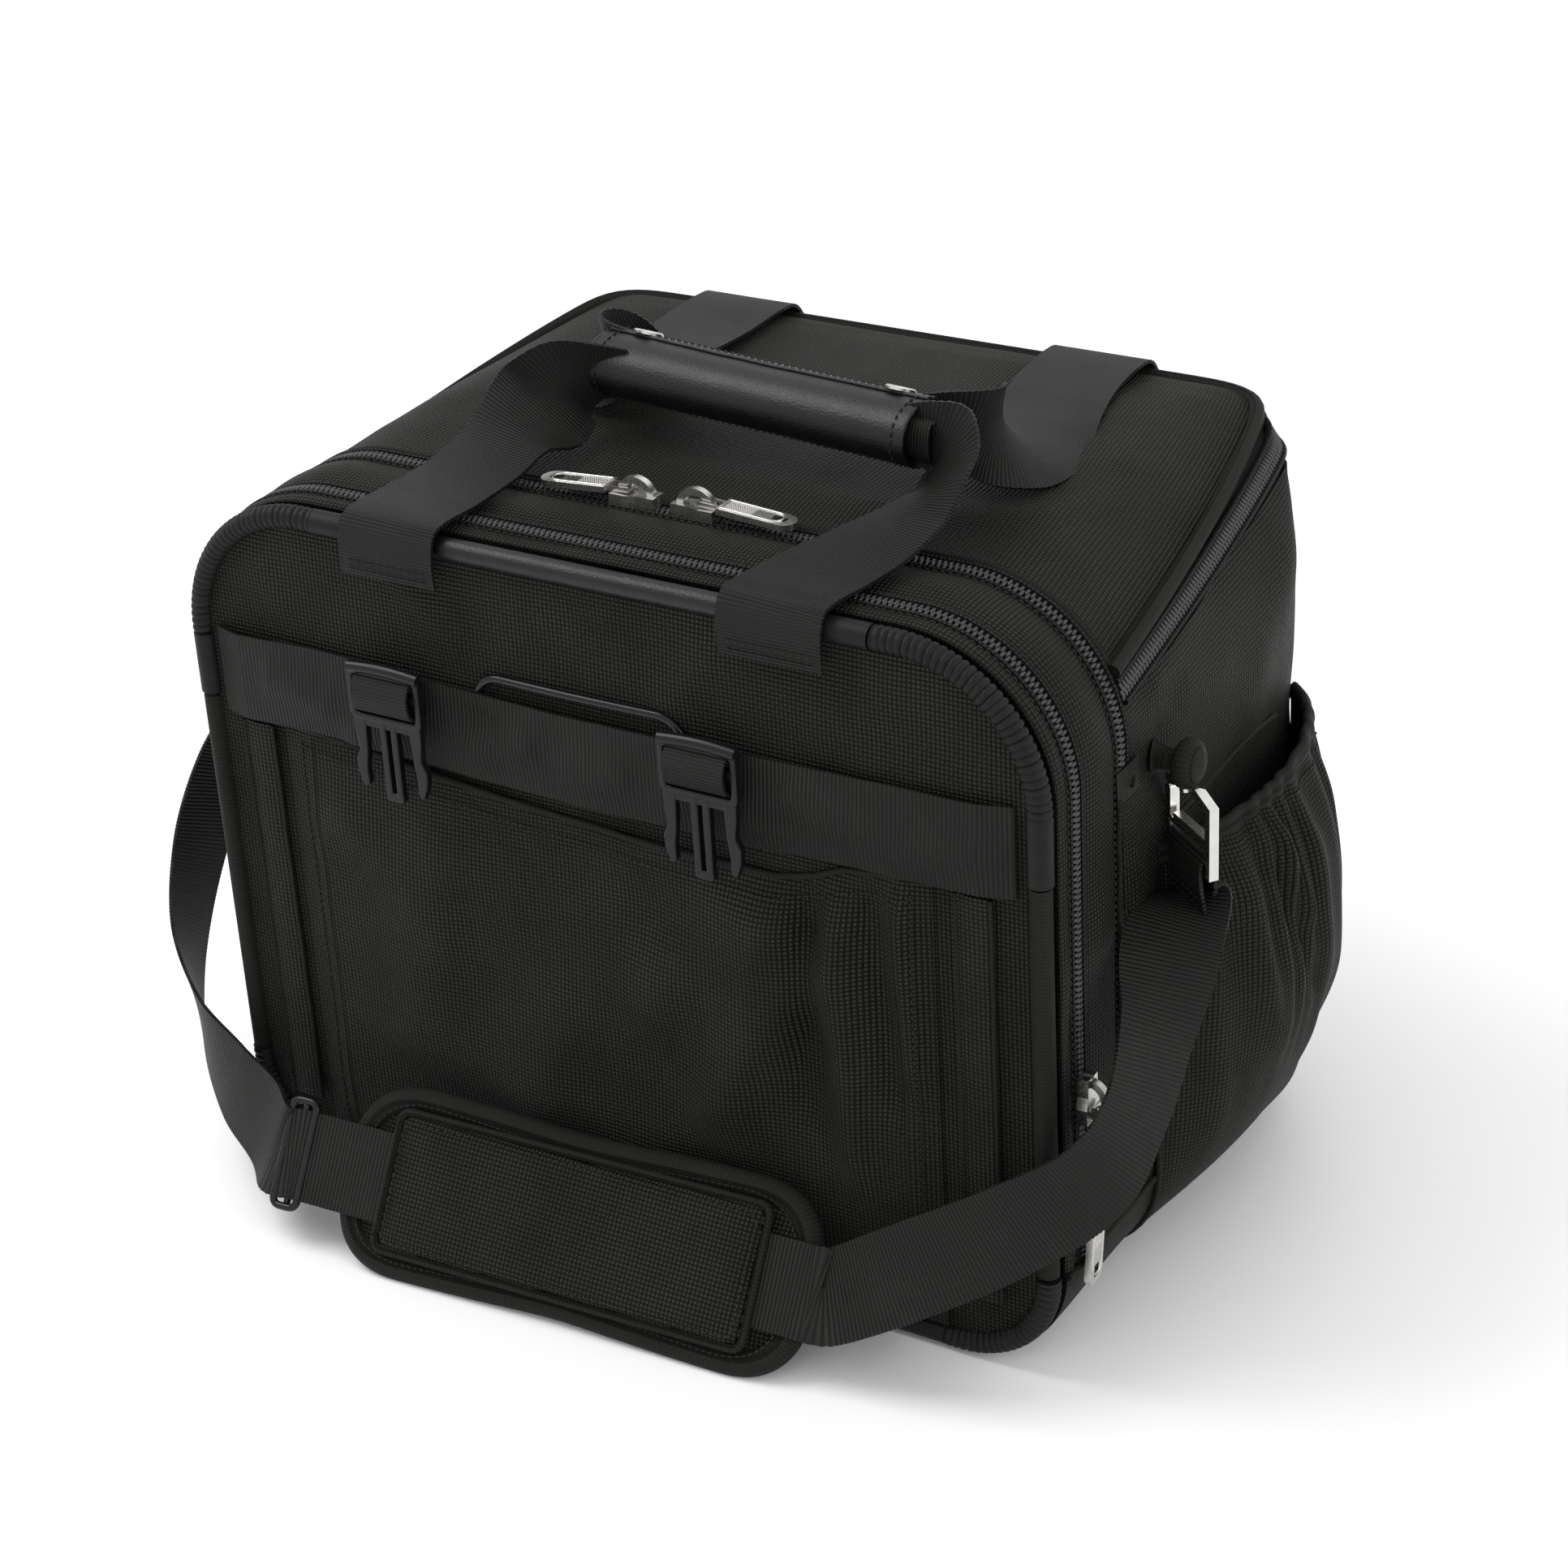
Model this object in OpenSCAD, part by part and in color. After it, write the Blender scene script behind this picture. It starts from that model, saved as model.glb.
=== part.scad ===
/* [Body] */
// Width of the bag over its piping
body_w = 400; // [380:5:420]
// Depth of the bag from front panel to back wall
body_d = 280; // [270:5:290]
// Height of the bag at its top panel
body_h = 316; // [310:2:324]
// Radius of the shoulders at the top of the front outline
shoulder_r = 64; // [60:1:68]
// Radius of the lower corners of the front outline
foot_r = 45; // [42:1:48]
// Plan radius of the two back corners
back_r = 78; // [74:1:82]
// Radius between the top panel and the back wall
crown_r = 18; // [16:1:20]
// Thickness of the padded wall
wall = 4; // [3:0.5:4.5]

/* [Trim] */
// Diameter of the rubber piping round the front
piping_d = 10; // [9:0.5:10]
// Width of the handle webbing
handle_web_w = 45; // [40:1:46]
// Width of the shoulder webbing
strap_web_w = 38; // [36:1:40]
// Thickness of all webbing
web_t = 2; // [1.6:0.2:2]
// Share of a webbing's width that its curved stretches keep
arm_share = 0.6; // [0.5:0.05:0.65]

/* [Grip] */
// Length of the leather grip
grip_l = 158; // [150:2:160]
// Height of the grip's middle above the floor
grip_z = 347; // [346:1:350]

/* [Shoulder pad] */
// Length of the shoulder pad
pad_l = 222; // [210:2:226]
// Width of the shoulder pad
pad_w = 74; // [70:1:76]
// Lean of the pad from upright, in degrees
pad_lean = 33.5; // [32:0.5:35]
// Turn of the pad in plan, in degrees
pad_yaw = 3; // [2:0.5:3.5]

/* [Hidden] */
$fn = 64;

// Colours
nylon = [0.055, 0.055, 0.05];
webbing = [0.07, 0.07, 0.065];
rubber = [0.09, 0.09, 0.09];
leather = [0.04, 0.04, 0.04];
plastic = [0.02, 0.02, 0.02];
nickel = [0.78, 0.77, 0.74];

// Fits and small steps
gap = 0.3;
over = 1;
far = 600;

// Planes of the body, from front to back
front_y = -body_d / 2;
back_y = body_d / 2;
half_w = body_w / 2;
piping_r = piping_d / 2;
piping_y = front_y + 3;
panel_front = front_y + 1.5;
panel_t = 3;
panel_back = panel_front + panel_t;
gusset_y = piping_y + piping_r;
tape_w = 10;
zip1_y = front_y + 22;
zip2_y = front_y + 60;
lid_y = zip2_y + tape_w / 2 + 1;
divider_t = 2.5;
foot_z = foot_r;
zip2_end_z = 236;

// The lid's lower edge is a plane that rises from front to back
lid_front_z = 279;
lid_back_z = body_h - 7;
lid_rise = atan2(lid_back_z - lid_front_z, back_y - lid_y);

// Zipper
tape_inset = 1;
coil_w = 5;
coil_h = 1.4;

// Front trim
band_z = 214;
band_h = 40;
band_t = 5;
band_half = half_w - 14;
band_front = panel_front - band_t;
pocket_front = panel_front - 6.8;
pocket_left = -155;
pocket_right = 151;
pocket_low = 10.5;
pocket_top = 208;
pocket_wall = 1.6;
buckle_z = 249;
buckle_y = band_front - 9;
buckle_left_x = -90;
buckle_right_x = 58;
buckle_w = 35;
buckle_t = 4;
bail_left = -55;
bail_right = 46;
bail_top = 262;
bail_r = 1.5;
bail_bend = 12;
bail_y = panel_front - band_t / 2;
bail_low = 226;

// Side trim
stud_y = front_y + 88;
stud_z = 238;
stud_r = 4.4;
pocket_mid_y = front_y + 162;
pocket_reach = 39;
pocket_half = 74;
pocket_foot_in = 12;
pocket_low_z = 5;
pocket_belly_z = 118;
side_top_z = 194;
binding_h = 8;
slider_upper_z = 122;
slider_lower_z = 80;

// Handles
arm_x = 88;
grip_x = 16;
grip_y = -27;
grip_yaw = -6;
grip_ry = 17;
grip_rz = 13;
grip_skin = 2.2;

// Sliders
slider_2_left_x = -11;
slider_2_right_x = 17;
slider_3_left_x = -18;
slider_3_right_x = 12;
slider_len = 20;
slider_w = 11;
slider_h = 5;
arch_z = 3;
arch_r = 9;
arch_bar = 3;
arch_t = 3;
pin_u = 2.8;
pin_h = 6.6;
pin_r = 0.9;
pull_l = 42;
pull_w = 11;
pull_t = 2.6;

// Shoulder strap
pad_x = -2;
pad_y = front_y - 54;
pad_t = 9;
sleeve_t = 5;
pad_mid = pad_w / 2;
web_y = -pad_t - gap - web_t / 2;

// --- shapes shared by several pieces ---

module corner_box(x, y, r) { translate([x, y]) circle(r); }

// Front outline of the bag, drawn flat, shrunk by inset
module front_outline(inset) {
  s = half_w - shoulder_r;
  f = half_w - foot_r;
  polygon([
    [-f, inset], [f, inset], [half_w - inset, foot_r], [half_w - inset, body_h - shoulder_r],
    [s, body_h - inset], [-s, body_h - inset], [inset - half_w, body_h - shoulder_r],
    [inset - half_w, foot_r]
  ]);
  for (side = [-1, 1]) {
    corner_box(side * s, body_h - shoulder_r, shoulder_r - inset);
    corner_box(side * f, foot_r, foot_r - inset);
  }
}

// Plan outline with two round back corners
module plan_outline(inset) {
  c = half_w - back_r;
  polygon([
    [inset - half_w, -far], [half_w - inset, -far], [half_w - inset, back_y - back_r],
    [c, back_y - inset], [-c, back_y - inset], [inset - half_w, back_y - back_r]
  ]);
  for (side = [-1, 1]) corner_box(side * c, back_y - back_r, back_r - inset);
}

// Side outline, in depth and height, with the round crown at the back
module side_outline(inset) {
  polygon([
    [-far, inset], [back_y - inset, inset], [back_y - inset, body_h - crown_r],
    [back_y - crown_r, body_h - inset], [-far, body_h - inset]
  ]);
  corner_box(back_y - crown_r, body_h - crown_r, crown_r - inset);
}

// The outline carried from y0 to y1
module slab(inset, y0, y1) {
  translate([0, y1, 0]) rotate([90, 0, 0]) linear_extrude(y1 - y0) front_outline(inset);
}

// The whole bag as a solid from y0 backwards, shrunk by inset
module loaf(inset, y0) {
  intersection() {
    slab(inset, y0, far);
    linear_extrude(far) plan_outline(inset);
    rotate([90, 0, 90]) translate([0, 0, -far / 2]) linear_extrude(far) side_outline(inset);
  }
}

// Everything above height z
module above(z) { translate([-far / 2, -far / 2, z]) cube([far, far, far]); }
module below(z) { translate([-far / 2, -far / 2, z - far]) cube([far, far, far]); }

// Everything above the lid's rising edge, moved up by lift
module above_lid_edge(lift) {
  translate([0, lid_y, lid_front_z + lift]) rotate([lid_rise, 0, 0])
    translate([-far / 2, -far / 2, 0]) cube([far, far, far]);
}

// A ring of wall between two depths
module ring(outer, inner, y0, y1) {
  difference() {
    slab(outer, y0, y1);
    slab(inner, y0 - over, y1 + over);
  }
}

// A flat strip of webbing through a list of stations, each a point and the way across
function unit(v) = v / norm(v);
function along(path, i) = unit(path[min(i + 1, len(path) - 1)] - path[max(i - 1, 0)]);
function corners(c, t, across, w, h) =
  let (n = unit(cross(t, across)), s = unit(cross(n, t)))
  [c + s * w / 2 + n * h / 2, c - s * w / 2 + n * h / 2, c - s * w / 2 - n * h / 2,
   c + s * w / 2 - n * h / 2];

module ribbon(path, across, w, h) {
  n = len(path);
  points = [for (i = [0:n - 1]) each corners(path[i], along(path, i), across[i], w, h)];
  walls = [for (i = [0:n - 2], k = [0:3])
    let (a = 4 * i + k, b = 4 * i + (k + 1) % 4)
    each k == 2 ? [[a, a + 4, b], [a + 4, b + 4, b]] : [[a, a + 4, b + 4], [a, b + 4, b]]];
  ends = [[0, 1, 2, 3], [4 * n - 1, 4 * n - 2, 4 * n - 3, 4 * n - 4]];
  polyhedron(points, concat(walls, ends));
}

module mirrored(side) { if (side < 0) mirror([1, 0, 0]) children(); else children(); }

// --- body shell ---

module front_panel() {
  color(nylon) slab(2 * piping_r, panel_front, panel_back);
}

module front_gusset() {
  color(nylon) intersection() {
    ring(0, wall, gusset_y, zip1_y - tape_w / 2);
    above(foot_z);
  }
}

module middle_gusset() {
  color(nylon) intersection() {
    ring(0, wall, zip1_y + tape_w / 2, zip2_y - tape_w / 2);
    above(foot_z);
  }
}

module main_shell() {
  color(nylon) difference() {
    loaf(0, zip2_y - tape_w / 2);
    loaf(wall, zip2_y - tape_w);
    below(foot_z);
    above_lid_edge(-tape_w);
    translate([0, lid_y - far / 2, zip2_end_z + far / 2]) cube([far, far, far], center = true);
  }
}

module base_tray() {
  color(nylon) difference() {
    loaf(0, gusset_y);
    loaf(wall, gusset_y - over);
    above(foot_z);
  }
}

module bottom_board() {
  board_t = 3;
  board_w = body_w - 2 * foot_r - 10;
  board_y = zip2_y + 8;
  color(plastic) translate([-board_w / 2, board_y, wall])
    cube([board_w, back_y - 30 - board_y, board_t]);
}

module front_divider() {
  color(nylon) slab(wall + gap, zip1_y + tape_w / 2, zip1_y + tape_w / 2 + divider_t);
}

module rear_divider() {
  color(nylon) slab(wall + gap, zip2_y - divider_t / 2, zip2_y + divider_t / 2);
}

// --- zippers: tape let into the wall, with its coil along the middle ---

module zip_arch(y, low) {
  intersection() {
    union() {
      ring(tape_inset, wall, y - tape_w / 2, y + tape_w / 2);
      ring(tape_inset - coil_h, tape_inset, y - coil_w / 2, y + coil_w / 2);
    }
    above(low);
  }
}

module zipper_1() { color(plastic) zip_arch(zip1_y, foot_z); }

module zipper_2() { color(plastic) zip_arch(zip2_y, zip2_end_z); }

module zipper_3() {
  color(plastic) difference() {
    loaf(tape_inset, lid_y);
    loaf(wall, lid_y - over);
    above_lid_edge(0);
    difference() {
      translate([-far / 2, -far / 2, 0]) cube([far, far, far]);
      above_lid_edge(-tape_w);
    }
  }
}

// --- piping round the front panel ---

module corner_tube(x, z, r, turn) {
  translate([x, piping_y, z]) rotate([90, 0, 0]) rotate([0, 0, turn])
    rotate_extrude(angle = 90) translate([r - piping_r, 0]) circle(piping_r);
}

module ribbed_piping() {
  s = half_w - shoulder_r;
  f = half_w - foot_r;
  color(rubber) {
    corner_tube(s, body_h - shoulder_r, shoulder_r, 0);
    corner_tube(-s, body_h - shoulder_r, shoulder_r, 90);
    corner_tube(-f, foot_r, foot_r, 180);
    corner_tube(f, foot_r, foot_r, 270);
  }
}

module smooth_piping() {
  s = half_w - shoulder_r;
  f = half_w - foot_r;
  color(rubber) {
    translate([-s, piping_y, body_h - piping_r]) rotate([0, 90, 0]) cylinder(r = piping_r, h = 2 * s);
    translate([-f, piping_y, piping_r]) rotate([0, 90, 0]) cylinder(r = piping_r, h = 2 * f);
  }
}

module covered_piping() {
  color(nylon) for (side = [-1, 1])
    translate([side * (half_w - piping_r), piping_y, foot_r])
      cylinder(r = piping_r, h = body_h - shoulder_r - foot_r);
}

// --- front trim ---

module front_band() {
  bore_r = bail_r + 0.2;
  bend_room = 7;
  color(webbing) difference() {
    translate([-band_half, band_front, band_z]) cube([2 * band_half, band_t, band_h]);
    for (end = [[bail_left + bail_r, 1], [bail_right - bail_r, -1]]) translate([end[0], bail_y, 0]) {
      translate([0, 0, band_z - over]) cylinder(r = bore_r, h = band_h + 2 * over);
      translate([end[1] * bend_room / 2, 0, band_z + band_h])
        cube([bend_room, 2 * bore_r, 2 * bend_room], center = true);
    }
  }
}

module front_pocket() {
  w = pocket_right - pocket_left;
  color(nylon) difference() {
    translate([pocket_left, pocket_front, pocket_low])
      cube([w, panel_front - pocket_front, pocket_top - pocket_low]);
    translate([pocket_left + pocket_wall, pocket_front + pocket_wall, pocket_low + pocket_wall])
      cube([w - 2 * pocket_wall, far, far]);
  }
}

module buckle_loop(x) {
  loop_w = 26;
  inner = 2.9;
  outer = inner + web_t;
  color(webbing) translate([x - loop_w / 2, 0, 0]) {
    difference() {
      union() {
        translate([0, buckle_y, buckle_z]) rotate([0, 90, 0]) cylinder(r = outer, h = loop_w);
        translate([0, buckle_y, buckle_z - outer]) cube([loop_w, band_front - buckle_y, web_t]);
      }
      translate([-over, buckle_y, buckle_z]) rotate([0, 90, 0])
        cylinder(r = inner, h = loop_w + 2 * over);
    }
  }
}

module buckle_loop_left() { buckle_loop(buckle_left_x); }
module buckle_loop_right() { buckle_loop(buckle_right_x); }

// Male half of a side-release buckle with its turning bar
module buckle(x) {
  frame_top = 11;
  frame_low = 13;
  arm_low = 44;
  prong_low = 48;
  rim = 2.5;
  color(plastic) translate([x, buckle_y, buckle_z]) {
    rotate([90, 0, 0]) translate([0, 0, -buckle_t / 2]) linear_extrude(buckle_t) difference() {
      translate([-buckle_w / 2, -frame_low]) square([buckle_w, frame_top + frame_low]);
      translate([rim - buckle_w / 2, rim + 0.5 - frame_low])
        square([buckle_w - 2 * rim, frame_top + frame_low - 2 * rim - 0.5]);
    }
    rotate([0, 90, 0]) cylinder(r = 2.5, h = buckle_w - rim, center = true);
    for (px = [-4, 0.5]) translate([px, -buckle_t / 2, -prong_low])
      cube([3.5, buckle_t, prong_low - frame_low]);
    for (side = [-1, 1]) mirrored(side) rotate([90, 0, 0]) translate([0, 0, -buckle_t / 2])
      linear_extrude(buckle_t) polygon([
        [10, -frame_low], [16, -frame_low], [15.5, -26], [17.5, -31], [16.5, -38], [14, -arm_low],
        [12, -arm_low], [12, -28]
      ]);
  }
}

module buckle_left() { buckle(buckle_left_x); }
module buckle_right() { buckle(buckle_right_x); }

module wire_bail() {
  ends = [bail_left + bail_r, bail_right - bail_r];
  color(plastic) {
    for (x = ends) translate([x, bail_y, bail_low])
      cylinder(r = bail_r, h = bail_top - bail_r - bail_bend - bail_low);
    translate([ends[0] + bail_bend, bail_y, bail_top - bail_r]) rotate([0, 90, 0])
      cylinder(r = bail_r, h = ends[1] - ends[0] - 2 * bail_bend);
    for (side = [0, 1])
      translate([ends[side] + (1 - 2 * side) * bail_bend, bail_y, bail_top - bail_r - bail_bend])
        rotate([90, 0, 0]) rotate([0, 0, 90 - 90 * side])
          rotate_extrude(angle = 90) translate([bail_bend, 0]) circle(bail_r);
  }
}

// --- side pockets, drawn on the right and mirrored ---

module pocket_bulge(inset) {
  plan_r = (pocket_half * pocket_half + pocket_reach * pocket_reach) / (2 * pocket_reach);
  drop = pocket_reach + pocket_foot_in;
  rise = pocket_belly_z - pocket_low_z;
  face_r = (rise * rise + drop * drop) / (2 * drop);
  reach_x = half_w + pocket_reach;
  intersection() {
    translate([reach_x - plan_r, pocket_mid_y, 0]) cylinder(r = plan_r - inset, h = far);
    translate([reach_x - face_r, far / 2, pocket_belly_z]) rotate([90, 0, 0])
      cylinder(r = face_r - inset, h = far);
    translate([half_w - pocket_foot_in - 2, -far / 2, pocket_low_z + inset])
      cube([far, far, side_top_z]);
  }
}

module side_pocket() {
  difference() {
    pocket_bulge(0);
    pocket_bulge(pocket_wall);
    loaf(-gap, front_y);
    above(side_top_z - binding_h);
  }
}

module pocket_binding() {
  rim = 1;
  difference() {
    pocket_bulge(-rim);
    pocket_bulge(pocket_wall);
    loaf(-gap, front_y);
    below(side_top_z - binding_h);
    above(side_top_z);
  }
}

module side_pocket_right() { color(nylon) side_pocket(); }
module side_pocket_left() { color(nylon) mirrored(-1) side_pocket(); }
module pocket_binding_right() { color(webbing) pocket_binding(); }
module pocket_binding_left() { color(webbing) mirrored(-1) pocket_binding(); }

// --- shoulder strap fittings, drawn on the right and mirrored ---

eye_x = half_w + 12;
eye_t = 5;
eye_out = 8.4;
hook_x = half_w + 17;
hook_y = stud_y - 2;
hook_turn = -36.87;
hook_t = 4;
hook_half = 18;
hook_top = -10;
hook_low = -41;
gate_r = 2.2;
gate_u = -15.8;
gate_top = -17;
gate_low = -27;

module strap_stud() {
  head_t = 2.5;
  head_r = 7.5;
  translate([half_w, stud_y, stud_z]) rotate([0, 90, 0]) {
    cylinder(r = stud_r, h = eye_x - half_w + eye_t + gap + head_t);
    translate([0, 0, eye_x - half_w + eye_t + gap]) cylinder(r = head_r, h = head_t);
  }
}

// Places a drawing of the hook's frame, whose height is measured from the stud
module hook_place() {
  translate([hook_x, hook_y, stud_z]) rotate([0, 0, hook_turn]) rotate([90, 0, 0])
    translate([0, 0, -hook_t / 2]) children();
}

module hook_frame_drawing() {
  difference() {
    polygon([
      [-6, -6.5], [6, -6.5], [hook_half, -10], [hook_half, hook_low], [-hook_half, hook_low],
      [-hook_half, -10]
    ]);
    polygon([[-3, hook_top], [3, hook_top], [14, -13], [14, -24.5], [-13, -24.5], [-13, -13]]);
    translate([-14, hook_low + 4]) square([28, 7.5]);
    translate([-hook_half - over, gate_low]) square([7.8, gate_top - gate_low + 3.8]);
    translate([gate_u, gate_low]) circle(gate_r + gap);
  }
}

module hook() {
  difference() {
    union() {
      translate([eye_x, stud_y, stud_z]) rotate([0, 90, 0]) cylinder(r = eye_out, h = eye_t);
      hook_place() linear_extrude(hook_t) hook_frame_drawing();
      translate([hook_x - 2.5, hook_y, stud_z + hook_top - 0.5]) cylinder(r = 2.5, h = 4);
    }
    translate([half_w, stud_y, stud_z]) rotate([0, 90, 0])
      cylinder(r = stud_r + gap, h = eye_x - half_w + eye_t + over);
    translate([eye_x + eye_t, stud_y, stud_z]) rotate([0, 90, 0]) cylinder(r = eye_out, h = 12);
  }
}

module gate() {
  hook_place() linear_extrude(hook_t) {
    translate([gate_u, gate_low]) circle(gate_r);
    translate([gate_u, gate_top + 1.2]) circle(gate_r);
    translate([gate_u - gate_r, gate_low]) square([2 * gate_r, gate_top + 1.2 - gate_low]);
  }
}

module strap_stud_right() { color(webbing) strap_stud(); }
module strap_stud_left() { color(webbing) mirrored(-1) strap_stud(); }
module hook_right() { color(nickel) hook(); }
module hook_left() { color(nickel) mirrored(-1) hook(); }
module gate_right() { color(nickel) gate(); }
module gate_left() { color(nickel) mirrored(-1) gate(); }

// --- lid ---

module lid_panel() {
  color(nylon) intersection() {
    difference() {
      loaf(0, lid_y);
      loaf(wall, lid_y - over);
    }
    above_lid_edge(gap);
  }
}

module lid_binding() {
  binding_w = 6;
  rise = 1.2;
  color(webbing) intersection() {
    union() {
      ring(-rise, 0, lid_y, lid_y + binding_w);
      difference() {
        loaf(-rise, lid_y + binding_w);
        loaf(0, lid_y);
        above_lid_edge(binding_w);
      }
    }
    above_lid_edge(gap);
  }
}

// --- carry handles ---

module handle_anchors() {
  front_h = 16;
  rear_h = 90;
  step = 1;
  color(webbing) for (side = [-1, 1]) {
    translate([side * arm_x - handle_web_w / 2, piping_y - piping_r - web_t, body_h - front_h])
      cube([handle_web_w, web_t, front_h - step]);
    translate([side * arm_x - handle_web_w / 2, back_y, body_h - 2 * crown_r - rear_h])
      cube([handle_web_w, web_t, rear_h]);
  }
}

module grip_place() {
  translate([grip_x, grip_y, grip_z]) rotate([0, 0, grip_yaw]) rotate([0, 90, 0])
    rotate([0, 0, 90]) children();
}

// Round-ended outline of the grip, wide in depth and low in height
module grip_outline(inset) {
  flat = grip_ry - grip_rz;
  for (side = [-1, 1]) translate([side * flat, 0]) circle(grip_rz - inset);
  square([2 * flat, 2 * (grip_rz - inset)], center = true);
}

// One half of the grip's skin, split at the middle: -1 is the front half
module grip_half(side) {
  grip_place() translate([0, 0, -grip_l / 2]) linear_extrude(grip_l) difference() {
    grip_outline(0);
    grip_outline(grip_skin);
    translate([side > 0 ? -far + gap / 2 : -gap / 2, -far / 2]) square([far, far]);
  }
}

module grip_core(side) {
  core_t = 9;
  core_h = 17;
  grip_place() translate([side * (core_t / 2 + 1) - core_t / 2, -core_h / 2, -grip_l / 2 - 8])
    cube([core_t, core_h, grip_l + 16]);
}

module grip_wrap() { color(leather) grip_half(-1); }
module grip_flap() { color(leather) grip_half(1); }
module front_grip_core() { color(webbing) grip_core(-1); }
module rear_grip_core() { color(webbing) grip_core(1); }

module snap_caps() {
  cap_r = 6;
  cap_t = 1.6;
  color(nickel) grip_place() for (end = [-1, 1])
    translate([8, -grip_rz, end * (grip_l / 2 - 16)]) rotate([90, 0, 0])
      cylinder(r = cap_r, h = cap_t);
}

// Stations of one handle arm: its root at the bag's edge, then up to the end of the grip
module handle_arm(side, root_y, end_y, tilt) {
  root_x = side * arm_x;
  end_x = grip_x + side * (grip_l / 2 + 14.5);
  low_z = body_h + 3.5;
  away = root_y < 0 ? 1 : -1;
  path = [
    [root_x, root_y, low_z], [root_x, root_y + away * 30, low_z + 2],
    [root_x + (end_x - root_x) * 0.3, (root_y * 0.55 + end_y * 0.45), low_z + 10],
    [end_x, end_y - away * 14, grip_z - 6], [end_x - side * 3, end_y, grip_z]
  ];
  ribbon(path, [[1, 0, 0], [1, 0, 0], [1, 0, side * 0.3], [0.7, 0, side * tilt], [0.3, 0.2, side]],
    arm_share * handle_web_w, web_t);
}

module front_arms() {
  color(webbing) for (side = [-1, 1])
    handle_arm(side, piping_y, grip_y - 10 - side * 8, 0.7);
}

module rear_arms() {
  color(webbing) for (side = [-1, 1])
    handle_arm(side, back_y - 4, grip_y + 10 - side * 8, 0.7);
}

// --- zipper sliders and pulls, drawn lying along +X with their foot at the origin ---

module slider_shape() {
  nose_w = 8;
  half = slider_len / 2;
  linear_extrude(slider_h) difference() {
    polygon([
      [-half, -nose_w / 2], [-2, -nose_w / 2], [3, -slider_w / 2], [half, -slider_w / 2],
      [half, slider_w / 2], [3, slider_w / 2], [-2, nose_w / 2], [-half, nose_w / 2]
    ]);
    translate([-half, 0]) circle(1);
  }
  translate([0, arch_t / 2, 0]) rotate([90, 0, 0]) linear_extrude(arch_t) difference() {
    translate([0, arch_z]) circle(arch_r);
    translate([0, arch_z]) circle(arch_r - arch_bar);
    translate([-far / 2, -far + slider_h]) square(far);
  }
}

// The flat tab of a pull, from its near end at x = 0
module pull_tab() {
  slot_l = 6;
  slot_w = 3.6;
  end_r = pull_w / 2;
  difference() {
    union() {
      translate([0, -pull_w / 2, -pull_t / 2]) cube([pull_l - 9 - end_r, pull_w, pull_t]);
      translate([pull_l - 9 - end_r, 0, -pull_t / 2]) cylinder(r = end_r, h = pull_t);
    }
    translate([pull_l - 13 - slot_l, -slot_w / 2, -pull_t]) cube([slot_l, slot_w, 2 * pull_t]);
  }
}

// A pull whose two prongs straddle the arch and carry a pin through it
module pull_shape(tilt) {
  prong_t = 1.4;
  prong_w = 2;
  prong_l = 9.5;
  inner = arch_t / 2 + 0.4;
  translate([pin_u, 0, pin_h]) rotate([0, tilt, 0]) {
    rotate([90, 0, 0]) cylinder(r = pin_r, h = 2 * inner, center = true);
    for (side = [-1, 1]) mirror([0, side > 0 ? 0 : 1, 0]) {
      translate([0, inner + prong_t, 0]) rotate([90, 0, 0]) cylinder(r = prong_w / 2, h = prong_t);
      translate([0, inner, -prong_w / 2]) cube([prong_l, prong_t, prong_w]);
    }
    translate([prong_l - 0.4, 0, 0]) pull_tab();
  }
}

hang_h = arch_z + arch_r - arch_bar / 2;

// A pull that hangs from the top of the arch by a round eye, drawn hanging down from the origin
module hanging_pull() {
  ring_in = 2.6;
  ring_out = 3.8;
  ring_w = 3;
  rotate([0, 90, 0]) difference() {
    union() {
      cylinder(r = ring_out, h = ring_w, center = true);
      translate([ring_in + 0.4, -pull_t / 2, -ring_w / 2]) cube([5, pull_t, ring_w]);
    }
    cylinder(r = ring_in, h = ring_w + over, center = true);
  }
  translate([0, 0, -ring_out - 3]) rotate([0, 90, 0]) rotate([90, 0, 0]) pull_tab();
}

// Places a slider on zipper 2, facing the way of dir
module on_zip2(x, dir) {
  translate([x, zip2_y, body_h - tape_inset + coil_h + gap]) rotate([0, 0, dir > 0 ? 0 : 180])
    children();
}

// Places a slider on zipper 1 at height z, its pull hanging down
module on_zip1(z) {
  translate([half_w - tape_inset + coil_h + gap, zip1_y, z]) rotate([0, 90, 0]) children();
}

crown_y = back_y - crown_r;
crown_z = body_h - crown_r;
crown_tilt = 14;
slider_3_r = crown_r - tape_inset + gap + 0.5;
pull_3_y = crown_y + (slider_3_r + hang_h) * cos(crown_tilt);
pull_3_z = crown_z + (slider_3_r + hang_h) * sin(crown_tilt);

// Places a slider on zipper 3, on the crown at the back
module on_zip3(x, dir) {
  translate([x, crown_y, crown_z]) rotate([crown_tilt - 90, 0, 0])
    translate([0, 0, slider_3_r]) rotate([0, 0, dir > 0 ? 0 : 180]) children();
}

pull_rest = 4;
pull_over = -15;

module slider_1_upper() { color(nickel) on_zip1(slider_upper_z) slider_shape(); }
module slider_1_lower() { color(nickel) on_zip1(slider_lower_z) slider_shape(); }
module slider_2_left() { color(nickel) on_zip2(slider_2_left_x, -1) slider_shape(); }
module slider_2_right() { color(nickel) on_zip2(slider_2_right_x, 1) slider_shape(); }
module slider_3_left() { color(nickel) on_zip3(slider_3_left_x, -1) slider_shape(); }
module slider_3_right() { color(nickel) on_zip3(slider_3_right_x, 1) slider_shape(); }

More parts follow.
